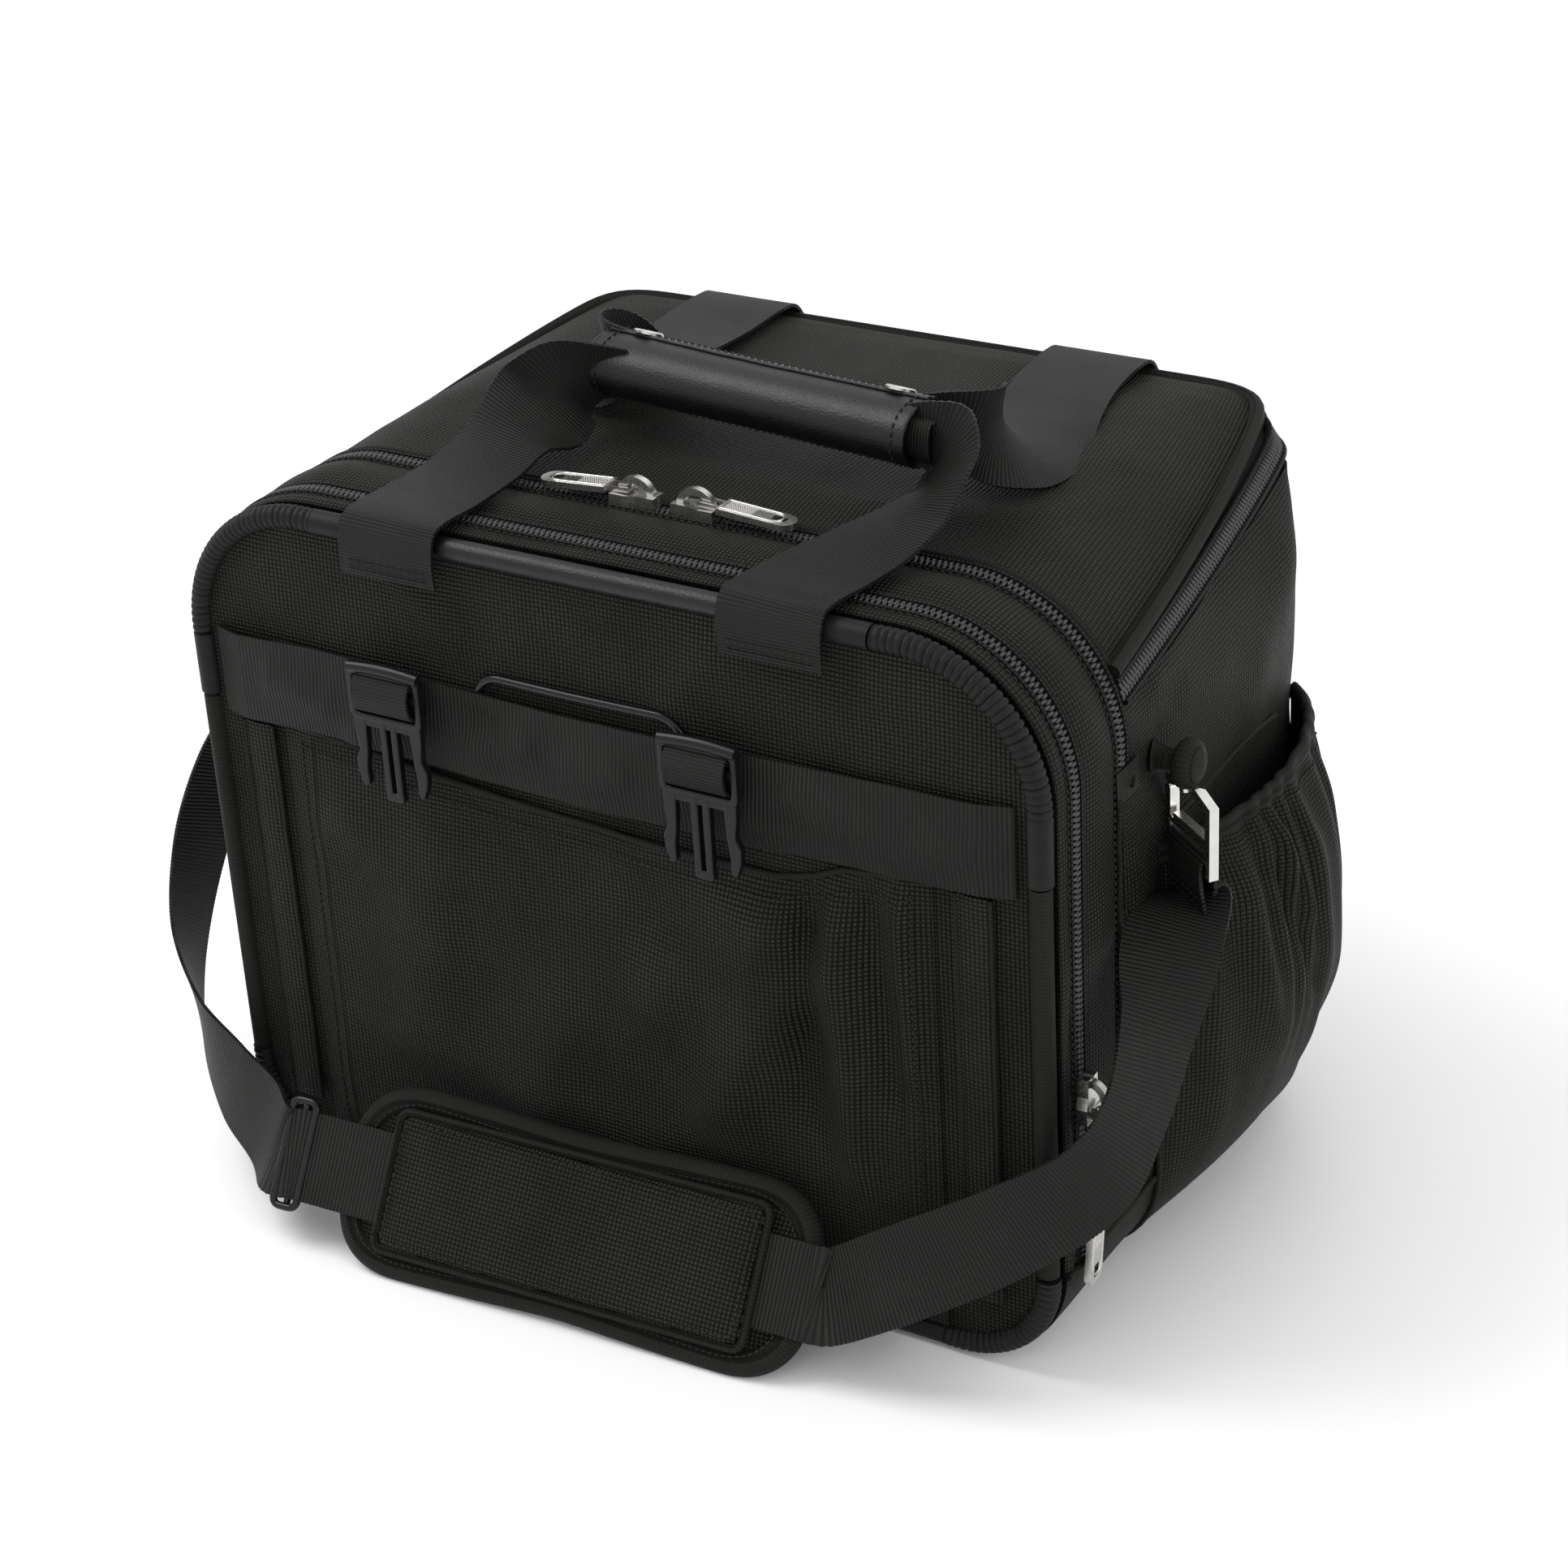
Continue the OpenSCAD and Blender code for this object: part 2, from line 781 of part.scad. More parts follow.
module pull_1_upper() { color(nickel) on_zip1(slider_upper_z) pull_shape(pull_over); }
module pull_1_lower() { color(nickel) on_zip1(slider_lower_z) pull_shape(pull_rest); }
module pull_2_left() { color(nickel) on_zip2(slider_2_left_x, -1) pull_shape(pull_rest); }
module pull_2_right() { color(nickel) on_zip2(slider_2_right_x, 1) pull_shape(pull_rest); }

module pull_3_left() {
  color(nickel) translate([slider_3_left_x, pull_3_y, pull_3_z]) hanging_pull();
}

module pull_3_right() {
  color(nickel) translate([slider_3_right_x, pull_3_y, pull_3_z]) hanging_pull();
}

// --- shoulder strap ---

module pad_place() {
  translate([pad_x, pad_y, 0]) rotate([0, 0, pad_yaw]) rotate([-pad_lean, 0, 0]) children();
}

module round_plate(l, w, r, t) {
  rotate([90, 0, 0]) linear_extrude(t) {
    translate([-l / 2 + r, 0]) square([l - 2 * r, w]);
    translate([-l / 2, r]) square([l, w - 2 * r]);
    for (x = [-l / 2 + r, l / 2 - r], z = [r, w - r]) translate([x, z]) circle(r);
  }
}

module pad_base() {
  color(nylon) pad_place() round_plate(pad_l, pad_w, 24, pad_t);
}

module pad_sleeve() {
  sleeve_l = pad_l - 44;
  sleeve_w = pad_w - 14;
  tunnel = strap_web_w + 2;
  color(nylon) pad_place() difference() {
    translate([0, -pad_t, 7]) round_plate(sleeve_l, sleeve_w, 4, sleeve_t);
    translate([-far / 2, -pad_t - web_t - 2 * gap, pad_mid - tunnel / 2])
      cube([far, web_t + 2 * gap, tunnel]);
  }
}

strap_half = pad_l / 2 + 18;

module strap_front() {
  color(webbing) pad_place()
    translate([-strap_half, web_y - web_t / 2, pad_mid - strap_web_w / 2])
      cube([2 * strap_half - 10, web_t, strap_web_w]);
}

module strap_adjuster() {
  rim = 3;
  color(plastic) pad_place()
    translate([-strap_half - 12, web_y - 2, pad_mid - strap_web_w / 2 - 4]) difference() {
      cube([11.5, 4, strap_web_w + 8]);
      translate([rim, -over, rim]) cube([5.5, 4 + 2 * over, strap_web_w + 8 - 2 * rim]);
    }
}

module strap_right() {
  color(webbing) ribbon([
    [119, -174, 37], [149, -169, 55], [187, -159, 79], [219, -145, 104], [227, -124, 126],
    [226, -102, 154], [221, -80, 179], [218.5, -60, 192]
  ], [
    [0, 0.58, 0.81], [-0.1, 0.35, 0.93], [-0.25, 0.1, 0.95], [-0.25, -0.35, 0.9],
    [0.1, -0.65, 0.75], [0, -0.8, 0.6], [0.1, -0.85, 0.5], [0.8, -0.6, 0]
  ], arm_share * strap_web_w, web_t);
}

module strap_left() {
  color(webbing) ribbon([
    [-148, -186, 37], [-166, -176, 38], [-192, -163, 42], [-222, -145, 53], [-245, -122, 78],
    [-253, -98, 112], [-245, -80, 148], [-227, -66, 178], [-218.5, -60, 192]
  ], [
    [0, 0.58, 0.81], [0.1, 0.4, 0.9], [0.2, 0.2, 0.95], [0.2, -0.2, 0.95], [0.1, -0.5, 0.8],
    [0, -0.7, 0.7], [-0.1, -0.8, 0.5], [-0.4, -0.8, 0.2], [-0.8, -0.6, 0]
  ], arm_share * strap_web_w, web_t);
}

front_panel();
front_gusset();
middle_gusset();
main_shell();
base_tray();
bottom_board();
front_divider();
rear_divider();
zipper_1();
zipper_2();
zipper_3();
ribbed_piping();
smooth_piping();
covered_piping();
front_band();
front_pocket();
buckle_loop_left();
buckle_loop_right();
side_pocket_right();
side_pocket_left();
pocket_binding_right();
pocket_binding_left();
strap_stud_right();
strap_stud_left();
handle_anchors();
lid_panel();
lid_binding();
front_grip_core();
front_arms();
grip_wrap();
grip_flap();
snap_caps();
rear_grip_core();
rear_arms();
buckle_left();
buckle_right();
wire_bail();
slider_1_upper();
slider_1_lower();
slider_2_left();
slider_2_right();
slider_3_left();
slider_3_right();
pull_1_upper();
pull_1_lower();
pull_2_left();
pull_2_right();
pull_3_left();
pull_3_right();
strap_left();
strap_right();
strap_front();
pad_base();
pad_sleeve();
strap_adjuster();
hook_right();
hook_left();
gate_right();
gate_left();
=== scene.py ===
import math

import bpy
import numpy as np
from mathutils import Matrix, Vector, noise


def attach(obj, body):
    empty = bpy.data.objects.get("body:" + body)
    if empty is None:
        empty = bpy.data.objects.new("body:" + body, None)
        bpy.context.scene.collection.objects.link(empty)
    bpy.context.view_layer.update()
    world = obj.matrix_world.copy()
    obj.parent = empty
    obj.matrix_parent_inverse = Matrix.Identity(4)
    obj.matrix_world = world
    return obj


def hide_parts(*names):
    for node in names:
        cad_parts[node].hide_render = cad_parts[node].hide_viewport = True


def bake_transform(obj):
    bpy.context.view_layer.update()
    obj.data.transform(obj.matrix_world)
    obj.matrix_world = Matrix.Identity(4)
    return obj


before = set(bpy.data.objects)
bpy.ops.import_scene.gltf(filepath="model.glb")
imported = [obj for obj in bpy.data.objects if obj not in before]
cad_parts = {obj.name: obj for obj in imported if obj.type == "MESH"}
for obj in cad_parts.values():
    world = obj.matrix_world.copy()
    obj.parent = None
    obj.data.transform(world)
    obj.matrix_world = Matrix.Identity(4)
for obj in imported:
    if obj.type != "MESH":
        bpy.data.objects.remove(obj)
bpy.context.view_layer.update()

MM = 0.001

# ---------------------------------------------------------------- materials


class Nodes:
    """A short way to write a material's node tree."""

    def __init__(self, name, color, rough, **sockets):
        self.material = bpy.data.materials.new(name)
        self.material.use_nodes = True
        self.tree = self.material.node_tree
        self.shader = self.tree.nodes["Principled BSDF"]
        self.shader.inputs["Base Color"].default_value = (*color, 1)
        self.shader.inputs["Roughness"].default_value = rough
        for key, value in sockets.items():
            self.shader.inputs[key.replace("_", " ")].default_value = value

    def put(self, socket, value):
        if isinstance(value, (int, float)):
            socket.default_value = value
        else:
            self.tree.links.new(value, socket)

    def math(self, operation, a, b=0.0, c=None, clamp=False):
        node = self.tree.nodes.new("ShaderNodeMath")
        node.operation = operation
        node.use_clamp = clamp
        for socket, value in zip(node.inputs, (a, b, c)):
            if value is not None:
                self.put(socket, value)
        return node.outputs[0]

    def times(self, a, b, clamp=False):
        return self.math("MULTIPLY", a, b, clamp=clamp)

    def plus(self, a, b):
        return self.math("ADD", a, b)

    def uv(self):
        node = self.tree.nodes.new("ShaderNodeUVMap")
        node.uv_map = "run"
        split = self.tree.nodes.new("ShaderNodeSeparateXYZ")
        self.tree.links.new(node.outputs[0], split.inputs[0])
        return split.outputs[0], split.outputs[1]

    def texture(self, kind, output, **values):
        """A texture in the object's own coordinates."""
        coord = self.tree.nodes.new("ShaderNodeTexCoord")
        node = self.tree.nodes.new("ShaderNodeTex" + kind)
        for key, value in values.items():
            node.inputs[key].default_value = value
        self.tree.links.new(coord.outputs["Object"], node.inputs["Vector"])
        return node.outputs[output]

    def noise(self, scale, detail=3.0, rough=0.5):
        return self.texture("Noise", "Fac", Scale=scale, Detail=detail, Roughness=rough)

    def mix(self, factor, dark, light):
        node = self.tree.nodes.new("ShaderNodeMix")
        node.data_type = "RGBA"
        self.put(node.inputs[0], factor)
        node.inputs[6].default_value = (*dark, 1)
        node.inputs[7].default_value = (*light, 1)
        self.tree.links.new(node.outputs[2], self.shader.inputs["Base Color"])

    def rough(self, factor, low, high):
        span = self.math("MULTIPLY_ADD", factor, high - low, low)
        self.tree.links.new(span, self.shader.inputs["Roughness"])

    def bump(self, height, distance):
        node = self.tree.nodes.new("ShaderNodeBump")
        node.inputs["Distance"].default_value = distance
        self.tree.links.new(height, node.inputs["Height"])
        self.tree.links.new(node.outputs[0], self.shader.inputs["Normal"])

    def wave(self, coordinate, pitch):
        """Sine with one half wave for each pitch, in metres."""
        return self.math("SINE", self.times(coordinate, math.pi / pitch))


def woven(name, dark, light, rough, pitch_u, pitch_v, depth, sheen=0.0):
    """Plain weave of thick yarn: raised cells in a chequer, with thread lines along each, and painted
    shade darkening the grooves between the cells.
    """
    m = Nodes(name, dark, rough, Sheen_Weight=sheen, Sheen_Roughness=0.45, Specular_IOR_Level=0.1)
    u, v = m.uv()
    cell = m.times(m.wave(u, pitch_u), m.wave(v, pitch_v))
    hill = m.math("POWER", m.math("ABSOLUTE", cell), 0.6)
    over = m.math("GREATER_THAN", cell, 0.0)
    warp = m.times(over, m.wave(u, pitch_u / 4))
    weft = m.times(m.math("SUBTRACT", 1.0, over), m.wave(v, pitch_v / 4))
    height = m.plus(hill, m.times(m.plus(warp, weft), 0.1))
    m.bump(m.plus(height, m.times(over, 0.45)), depth)
    cloth = m.noise(30, 4)
    # painted shade: the colour is darkest in the grooves between the raised cells and lighter on their
    # crests, mixed with random noise
    m.mix(m.times(hill, m.math("MULTIPLY_ADD", cloth, 0.9, 0.35), clamp=True), dark, light)
    m.rough(cloth, rough - 0.08, rough + 0.12)
    return m.material


def ribbed(name, dark, light, rough, pitch, depth):
    """Webbing: ribs across its length, with a fine warp, and painted shade darkening the grooves between
    the ribs.
    """
    m = Nodes(name, dark, rough, Sheen_Roughness=0.4, Specular_IOR_Level=0.16)
    u, v = m.uv()
    rib = m.math("ABSOLUTE", m.wave(v, pitch))
    warp = m.math("ABSOLUTE", m.wave(u, 0.0007))
    m.bump(m.plus(rib, m.times(warp, 0.35)), depth)
    cloth = m.noise(45, 3)
    # painted shade: the colour is darkest in the grooves between the ribs and lighter on their crests,
    # mixed with random noise
    m.mix(m.times(rib, m.plus(cloth, 0.25), clamp=True), dark, light)
    m.rough(cloth, rough - 0.07, rough + 0.1)
    return m.material


def grained(name, dark, light, rough, scale, depth, **sockets):
    """Leather, rubber or moulded plastic: a fine grain over a slow change of tone."""
    m = Nodes(name, dark, rough, **sockets)
    grain = m.texture("Voronoi", "Distance", Scale=scale)
    fine = m.noise(scale * 1.7, 5, 0.6)
    m.bump(m.plus(grain, m.times(fine, 0.5)), depth)
    m.mix(m.noise(18, 3), dark, light)
    m.rough(m.noise(90, 4), rough - 0.08, rough + 0.1)
    return m.material


def plated(name):
    """Satin nickel with small marks."""
    m = Nodes(name, (0.62, 0.61, 0.58), 0.24, Metallic=1.0)
    scuff = m.noise(700, 6, 0.7)
    m.bump(scuff, 0.00002)
    m.mix(m.noise(120, 3), (0.5, 0.49, 0.47), (0.72, 0.71, 0.68))
    m.rough(scuff, 0.16, 0.36)
    return m.material


# Colours are linear; pitches and depths of weave and grain are in metres.
INK = (0.0052, 0.0052, 0.0045)
SOOT = (0.0025, 0.0025, 0.0022)
NYLON = woven(
    "ballistic_nylon", (0.0016, 0.0016, 0.0013), (0.034, 0.034, 0.029),
    rough=0.5, pitch_u=0.0019, pitch_v=0.0019, depth=0.0013)
TWILL = woven(
    "binding_twill", INK, (0.02, 0.02, 0.0175),
    rough=0.55, pitch_u=0.0008, pitch_v=0.0016, depth=0.00022)
TAPE = woven(
    "zipper_tape", (0.0045, 0.0045, 0.004), (0.015, 0.015, 0.013),
    rough=0.6, pitch_u=0.0006, pitch_v=0.0009, depth=0.00014)
LINING = woven(
    "lining", (0.02, 0.02, 0.019), (0.04, 0.04, 0.038),
    rough=0.6, pitch_u=0.0004, pitch_v=0.0004, depth=0.00006, sheen=0.2)
WEB = ribbed("webbing", SOOT, (0.017, 0.017, 0.015), rough=0.46, pitch=0.0018, depth=0.0004)
SATIN = ribbed("handle_webbing", SOOT, (0.013, 0.013, 0.0115), rough=0.44, pitch=0.0014, depth=0.00028)
THREAD = ribbed(
    "thread", (0.007, 0.007, 0.0065), (0.03, 0.03, 0.028), rough=0.5, pitch=0.0006, depth=0.00008)
COIL = grained(
    "coil", (0.012, 0.0125, 0.014), (0.03, 0.031, 0.034), 0.34, scale=900, depth=0.00004)
RUBBER = grained(
    "rubber", (0.005, 0.005, 0.0046), (0.01, 0.01, 0.009), 0.5,
    scale=1500, depth=0.00004, Specular_IOR_Level=0.16)
LEATHER = grained(
    "leather", (0.0022, 0.0022, 0.002), (0.0055, 0.0055, 0.005), 0.36,
    scale=1300, depth=0.00012, Specular_IOR_Level=0.3, Coat_Weight=0.05, Coat_Roughness=0.25)
PLASTIC = grained(
    "black_plastic", (0.004, 0.004, 0.004), (0.007, 0.007, 0.007), 0.28,
    scale=2200, depth=0.00001, Specular_IOR_Level=0.25)
WIRE = grained(
    "coated_wire", (0.004, 0.004, 0.004), (0.006, 0.006, 0.006), 0.2,
    scale=1500, depth=0.00001, Specular_IOR_Level=0.28)
BOARD = grained("board", (0.012, 0.012, 0.012), (0.02, 0.02, 0.02), 0.6, scale=800, depth=0.00005)
NICKEL = plated("nickel")

# ---------------------------------------------------------------- mesh tools, in millimetres


def link(obj):
    bpy.context.scene.collection.objects.link(obj)


def make(name, points, faces, material, body=None, nodes=(), uv=None, sharp=40):
    """A mesh object from points in millimetres, riding on a body and standing for CAD nodes."""
    mesh = bpy.data.meshes.new(name)
    mesh.from_pydata((np.asarray(points, float) * MM).tolist(), [], faces)
    mesh.update()
    if uv is not None:
        layer = mesh.uv_layers.new(name="run")
        index = np.empty(len(mesh.loops), int)
        mesh.loops.foreach_get("vertex_index", index)
        layer.data.foreach_set("uv", (np.asarray(uv, float)[index] * MM).ravel())
    mesh.polygons.foreach_set("use_smooth", [True] * len(mesh.polygons))
    mesh.set_sharp_from_angle(angle=math.radians(sharp))
    mesh.materials.append(material)
    obj = bpy.data.objects.new(name, mesh)
    link(obj)
    if body:
        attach(obj, body)
    if nodes:
        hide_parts(*nodes)
    return obj


def unit(v):
    return v / np.maximum(np.linalg.norm(v, axis=-1, keepdims=True), 1e-9)


def grid_uv(p):
    """Distances along both ways of a grid of points."""
    u = np.zeros(p.shape[:2])
    v = np.zeros(p.shape[:2])
    u[:, 1:] = np.cumsum(np.linalg.norm(np.diff(p, axis=1), axis=2), axis=1)
    v[1:] = np.cumsum(np.linalg.norm(np.diff(p, axis=0), axis=2), axis=0)
    return np.stack([u - u[:, -1:] / 2, np.broadcast_to(v.mean(1, keepdims=True), u.shape)], -1)


def solid(name, p, thick, material, body=None, nodes=(), back=0.5, uv=None):
    """A sheet of some thickness from a grid of points; back is the share that lies behind them."""
    p = np.asarray(p, float)
    n, m = p.shape[:2]
    normal = unit(np.cross(np.gradient(p, axis=0), np.gradient(p, axis=1)))
    front, rear = p + normal * thick * (1 - back), p - normal * thick * back
    i, j = np.meshgrid(np.arange(n - 1), np.arange(m - 1), indexing="ij")
    a = (i * m + j).ravel()
    top = np.stack([a, a + m, a + m + 1, a + 1], 1)
    low = top[:, ::-1] + n * m
    rim = list(range(m)) + [k * m + m - 1 for k in range(1, n)]
    rim += [(n - 1) * m + k for k in range(m - 2, -1, -1)] + [k * m for k in range(n - 2, 0, -1)]
    nxt = np.roll(rim, -1)
    edge = np.stack([rim, nxt, nxt + n * m, np.array(rim) + n * m], 1)
    faces = np.vstack([top, low, edge]).tolist()
    uv = grid_uv(p) if uv is None else uv
    both = np.vstack([uv.reshape(-1, 2)] * 2)
    points = np.vstack([front.reshape(-1, 3), rear.reshape(-1, 3)])
    return make(name, points, faces, material, body, nodes, both)


def spline(points, count):
    """Points on a smooth (Catmull-Rom) curve through the given ones, at even distances."""
    q = np.asarray(points, float)
    q = np.vstack([2 * q[0] - q[1], q, 2 * q[-1] - q[-2]])
    t = np.linspace(0, len(q) - 3, 24 * (len(q) - 3) + 1)
    k = np.minimum(t.astype(int), len(q) - 4)
    u = (t - k)[:, None]
    a, b, c, d = q[k], q[k + 1], q[k + 2], q[k + 3]
    fine = 2 * b + (c - a) * u + (2 * a - 5 * b + 4 * c - d) * u**2 + (3 * b - a - 3 * c + d) * u**3
    return resample(0.5 * fine, count)


def run_length(p):
    """Distance along a path at each of its points."""
    return np.concatenate([[0], np.cumsum(np.linalg.norm(np.diff(p, axis=0), axis=1))])


def resample(fine, count, lead=3):
    """A path's points at even distances, measured in its first lead columns."""
    s = run_length(fine[:, :lead])
    at = np.linspace(0, s[-1], count)
    return np.stack([np.interp(at, s, fine[:, k]) for k in range(fine.shape[1])], 1)


def even_loop(outline, count):
    """A closed outline's points at even distances."""
    return resample(np.vstack([outline, outline[:1]]), count + 1, 2)[:-1]


def length_of(path):
    return float(np.linalg.norm(np.diff(np.asarray(path, float)[:, :3], axis=0), axis=1).sum())


def ribbon(
    name, stations, width, thick, material, body=None, nodes=(),
    step=0.8, columns=9, picot=0.35,
):
    """A strip of webbing through stations: x, y, z, the way across, and a share of the width.

    The share may be left out, and is then 1. picot is the tooth of the woven edge."""
    rows = [[*s[:3], *unit(np.array(s[3:6], float)), s[6] if len(s) > 6 else 1.0] for s in stations]
    path = spline(rows, max(12, int(length_of(spline(rows, 60)) / step)))
    point, across, share = path[:, :3], path[:, 3:6], path[:, 6:7]
    along = unit(np.gradient(point, axis=0))
    across = unit(across - along * (across * along).sum(1, keepdims=True))
    tooth = picot * (np.arange(len(path)) % 2)[:, None]
    grid = []
    for c in np.linspace(-1, 1, columns):
        reach = c * (width / 2 * share + (tooth if abs(c) == 1 else 0))
        grid.append(point + across * reach)
    return solid(name, np.stack(grid, 1), thick, material, body, nodes)


def skin(p, side, other, radius, sides, closed=False):
    """Points and faces of a tube round a path; side and other span the rings."""
    ring = [
        p + radius * (side * math.cos(a) + other * math.sin(a))
        for a in np.linspace(0, 2 * math.pi, sides, endpoint=False)
    ]
    n = len(p)
    faces = []
    for k in range(n if closed else n - 1):
        a, b = k * sides, (k + 1) % n * sides
        faces += [[a + j, a + (j + 1) % sides, b + (j + 1) % sides, b + j] for j in range(sides)]
    if not closed:
        faces += [list(range(sides))[::-1], [(n - 1) * sides + j for j in range(sides)]]
    return np.stack(ring, 1).reshape(-1, 3), faces


def tube(name, path, radius, material, body=None, nodes=(), sides=14, closed=False, flat=None):
    """A round tube; radius is a number or one for each point. flat is (normal, share) to squash it."""
    p = np.asarray(path, float)
    n = len(p)
    along = unit((np.roll(p, -1, 0) - np.roll(p, 1, 0)) if closed else np.gradient(p, axis=0))
    side = np.empty_like(p)
    start = np.array([0, 0, 1.0]) if abs(along[0][2]) < 0.9 else np.array([0, 1.0, 0])
    if flat is not None:
        start = np.array(flat[0], float)
    for k in range(n):
        if flat is None and k:
            start = side[k - 1]
        side[k] = unit(start - along[k] * start.dot(along[k]))
    r = np.broadcast_to(np.asarray(radius, float).reshape(-1, 1), (n, 1))
    share = 1.0 if flat is None else flat[1]
    points, faces = skin(p, side * share, np.cross(along, side), r, sides, closed)
    around = np.linspace(0, 2 * math.pi * float(r.mean()), sides)
    uv = np.stack([np.tile(around, n), np.repeat(run_length(p), sides)], 1)
    return make(name, points, faces, material, body, nodes, uv, 60)


def copies(name, points, faces, places, material, body):
    """One mesh of many small copies; places are (origin, x, y, z) rows of vectors."""
    q = np.asarray(points, float)
    o, x, y, z = (np.asarray(w, float)[:, None, :] for w in places)
    everything = o + x * q[None, :, :1] + y * q[None, :, 1:2] + z * q[None, :, 2:]
    count = everything.shape[0]
    f = [[i + k * len(q) for i in face] for k in range(count) for face in faces]
    uv = np.tile(q[:, :2], (count, 1))
    return make(name, everything.reshape(-1, 3), f, material, body, (), uv, 60)


def pill(points, radius, sides=5):
    """Points and faces of a small tube along a few points, with pinched ends."""
    p = np.asarray(points, float)
    along = unit(np.gradient(p, axis=0))
    start = np.array([1.0, 0, 0])
    side = unit(start - along * (along @ start)[:, None])
    r = np.full((len(p), 1), radius)
    r[[0, -1]] *= 0.45
    return skin(p, side, np.cross(along, side), r, sides)


def stitches(name, path, normal, body, pitch=3.4, size=2.3, radius=0.36, lift=0.15):
    """A row of thread stitches lying on a surface whose normal is given, one or one for each point."""
    p = np.asarray(path, float)
    n = np.broadcast_to(np.asarray(normal, float), p.shape)
    count = max(2, int(length_of(p) / pitch))
    both = resample(np.hstack([p, n]), 2 * count + 1)[1::2]
    along = unit(np.gradient(both[:, :3], axis=0))
    up = unit(both[:, 3:])
    bow = [(-size / 2, -0.25), (-size / 4, 0.1), (size / 4, 0.1), (size / 2, -0.25)]
    verts, faces = pill([(0, *q) for q in bow], radius)
    places = (both[:, :3] + up * lift, np.cross(along, up), along, up)
    return copies(name, verts, faces, places, THREAD, body)


def evaluated(obj):
    """A new mesh of an object as its modifiers or curve settings leave it."""
    bpy.context.view_layer.update()
    return bpy.data.meshes.new_from_object(obj.evaluated_get(bpy.context.evaluated_depsgraph_get()))


def plate(name, outlines, thick, bevel, place, material, body, nodes=()):
    """A flat plate with rounded edges from outlines: the first is solid, the others are holes.

    place takes rows of (x, y, depth) in the plate's drawing to millimetres in the shared frame."""
    curve = bpy.data.curves.new(name, "CURVE")
    curve.dimensions = "2D"
    curve.fill_mode = "BOTH"
    curve.extrude = thick / 2 - bevel
    curve.bevel_depth = bevel
    curve.bevel_resolution = 2
    curve.offset = -bevel
    for outline in outlines:
        line = curve.splines.new("POLY")
        line.points.add(len(outline) - 1)
        line.points.foreach_set("co", [c for q in outline for c in (q[0], q[1], 0, 1)])
        line.use_cyclic_u = True
    draft = bpy.data.objects.new(name + "_draft", curve)
    link(draft)
    mesh = evaluated(draft)
    points = np.array([v.co for v in mesh.vertices], float)
    faces = [list(f.vertices) for f in mesh.polygons]
    bpy.data.objects.remove(draft)
    bpy.data.meshes.remove(mesh)
    return make(name, place(points), faces, material, body, nodes, points[:, :2], 35)


def rounded(points, radius, steps=4):
    """A closed outline with its corners rounded; radius is one number or one for each corner."""
    p = [np.array(q, float) for q in points]
    radii = radius if hasattr(radius, "__len__") else [radius] * len(p)
    out = []
    for k, q in enumerate(p):
        before, after = p[k - 1] - q, p[(k + 1) % len(p)] - q
        reach = min(radii[k], 0.49 * np.linalg.norm(before), 0.49 * np.linalg.norm(after))
        a, b = unit(before), unit(after)
        for t in np.linspace(0, 1, steps + 1):
            out.append((1 - t) ** 2 * (q + a * reach) + 2 * t * (1 - t) * q + t**2 * (q + b * reach))
    return np.array(out)


def rounded_box(x0, x1, z0, z1, radius, steps=4):
    return rounded([(x0, z0), (x1, z0), (x1, z1), (x0, z1)], radius, steps)


def drawn(x, z):
    """Points of a flat drawing, for ripple."""
    return np.stack([x, z, 0 * x], -1)


def ripple(p, size, amount, seed):
    """Smooth noise for each point of an array, in millimetres."""
    flat = p.reshape(-1, 3) / size + seed
    values = [noise.noise(Vector(q)) for q in flat]
    return (np.array(values) * amount).reshape(p.shape[:-1])


def crease(a, b, start, end, width, amount):
    """A soft ridge from start to end on a surface drawn in a and b."""
    s, e = np.array(start, float), np.array(end, float)
    d = e - s
    size = np.linalg.norm(d)
    t = ((a - s[0]) * d[0] + (b - s[1]) * d[1]) / size**2
    off = ((a - s[0]) * d[1] - (b - s[1]) * d[0]) / size
    fade = np.clip(t / 0.18, 0, 1) * np.clip((1 - t) / 0.25, 0, 1)
    return amount * fade * fade * (3 - 2 * fade) * np.exp(-((off / width) ** 2))


def folded(out, a, b, folds, share=1.0):
    """Adds creases of (start, end, width, amount) to a surface's height out."""
    for fold in folds:
        out = out + crease(a, b, *fold) * share
    return out


# ---------------------------------------------------------------- the body's form, in millimetres

HALF_W, TOP = 200.0, 316.0
SHOULDER, FOOT, BACK, CROWN = 64.0, 45.0, 78.0, 18.0
BACK_Y = 140.0
LID_Y, LID_FRONT, LID_BACK = -74.0, 279.0, 309.0
PIPE_Y, PIPE_R = -137.0, 5.0
TAPE_W = 10.0
ZIP1_Y, ZIP2_Y, ZIP2_END = -118.0, -80.0, 236.0
PANEL_Y, PANEL_MID = -138.0, 158.0
WALL_FOOT, WALL_FRONT = 44.0, -85.0
BASE_TOP, BASE_FRONT = 45.0, -131.5
QUARTER = math.pi / 2


def half_width(z):
    z = np.asarray(z, float)
    up = HALF_W - SHOULDER + np.sqrt(np.maximum(SHOULDER**2 - (z - TOP + SHOULDER) ** 2, 0))
    low = HALF_W - FOOT + np.sqrt(np.maximum(FOOT**2 - (FOOT - z) ** 2, 0))
    return np.where(z > TOP - SHOULDER, up, np.where(z < FOOT, low, HALF_W))


def plan_half(y):
    y = np.asarray(y, float)
    turn = HALF_W - BACK + np.sqrt(np.maximum(BACK**2 - (y - BACK_Y + BACK) ** 2, 0))
    return np.where(y > BACK_Y - BACK, turn, HALF_W)


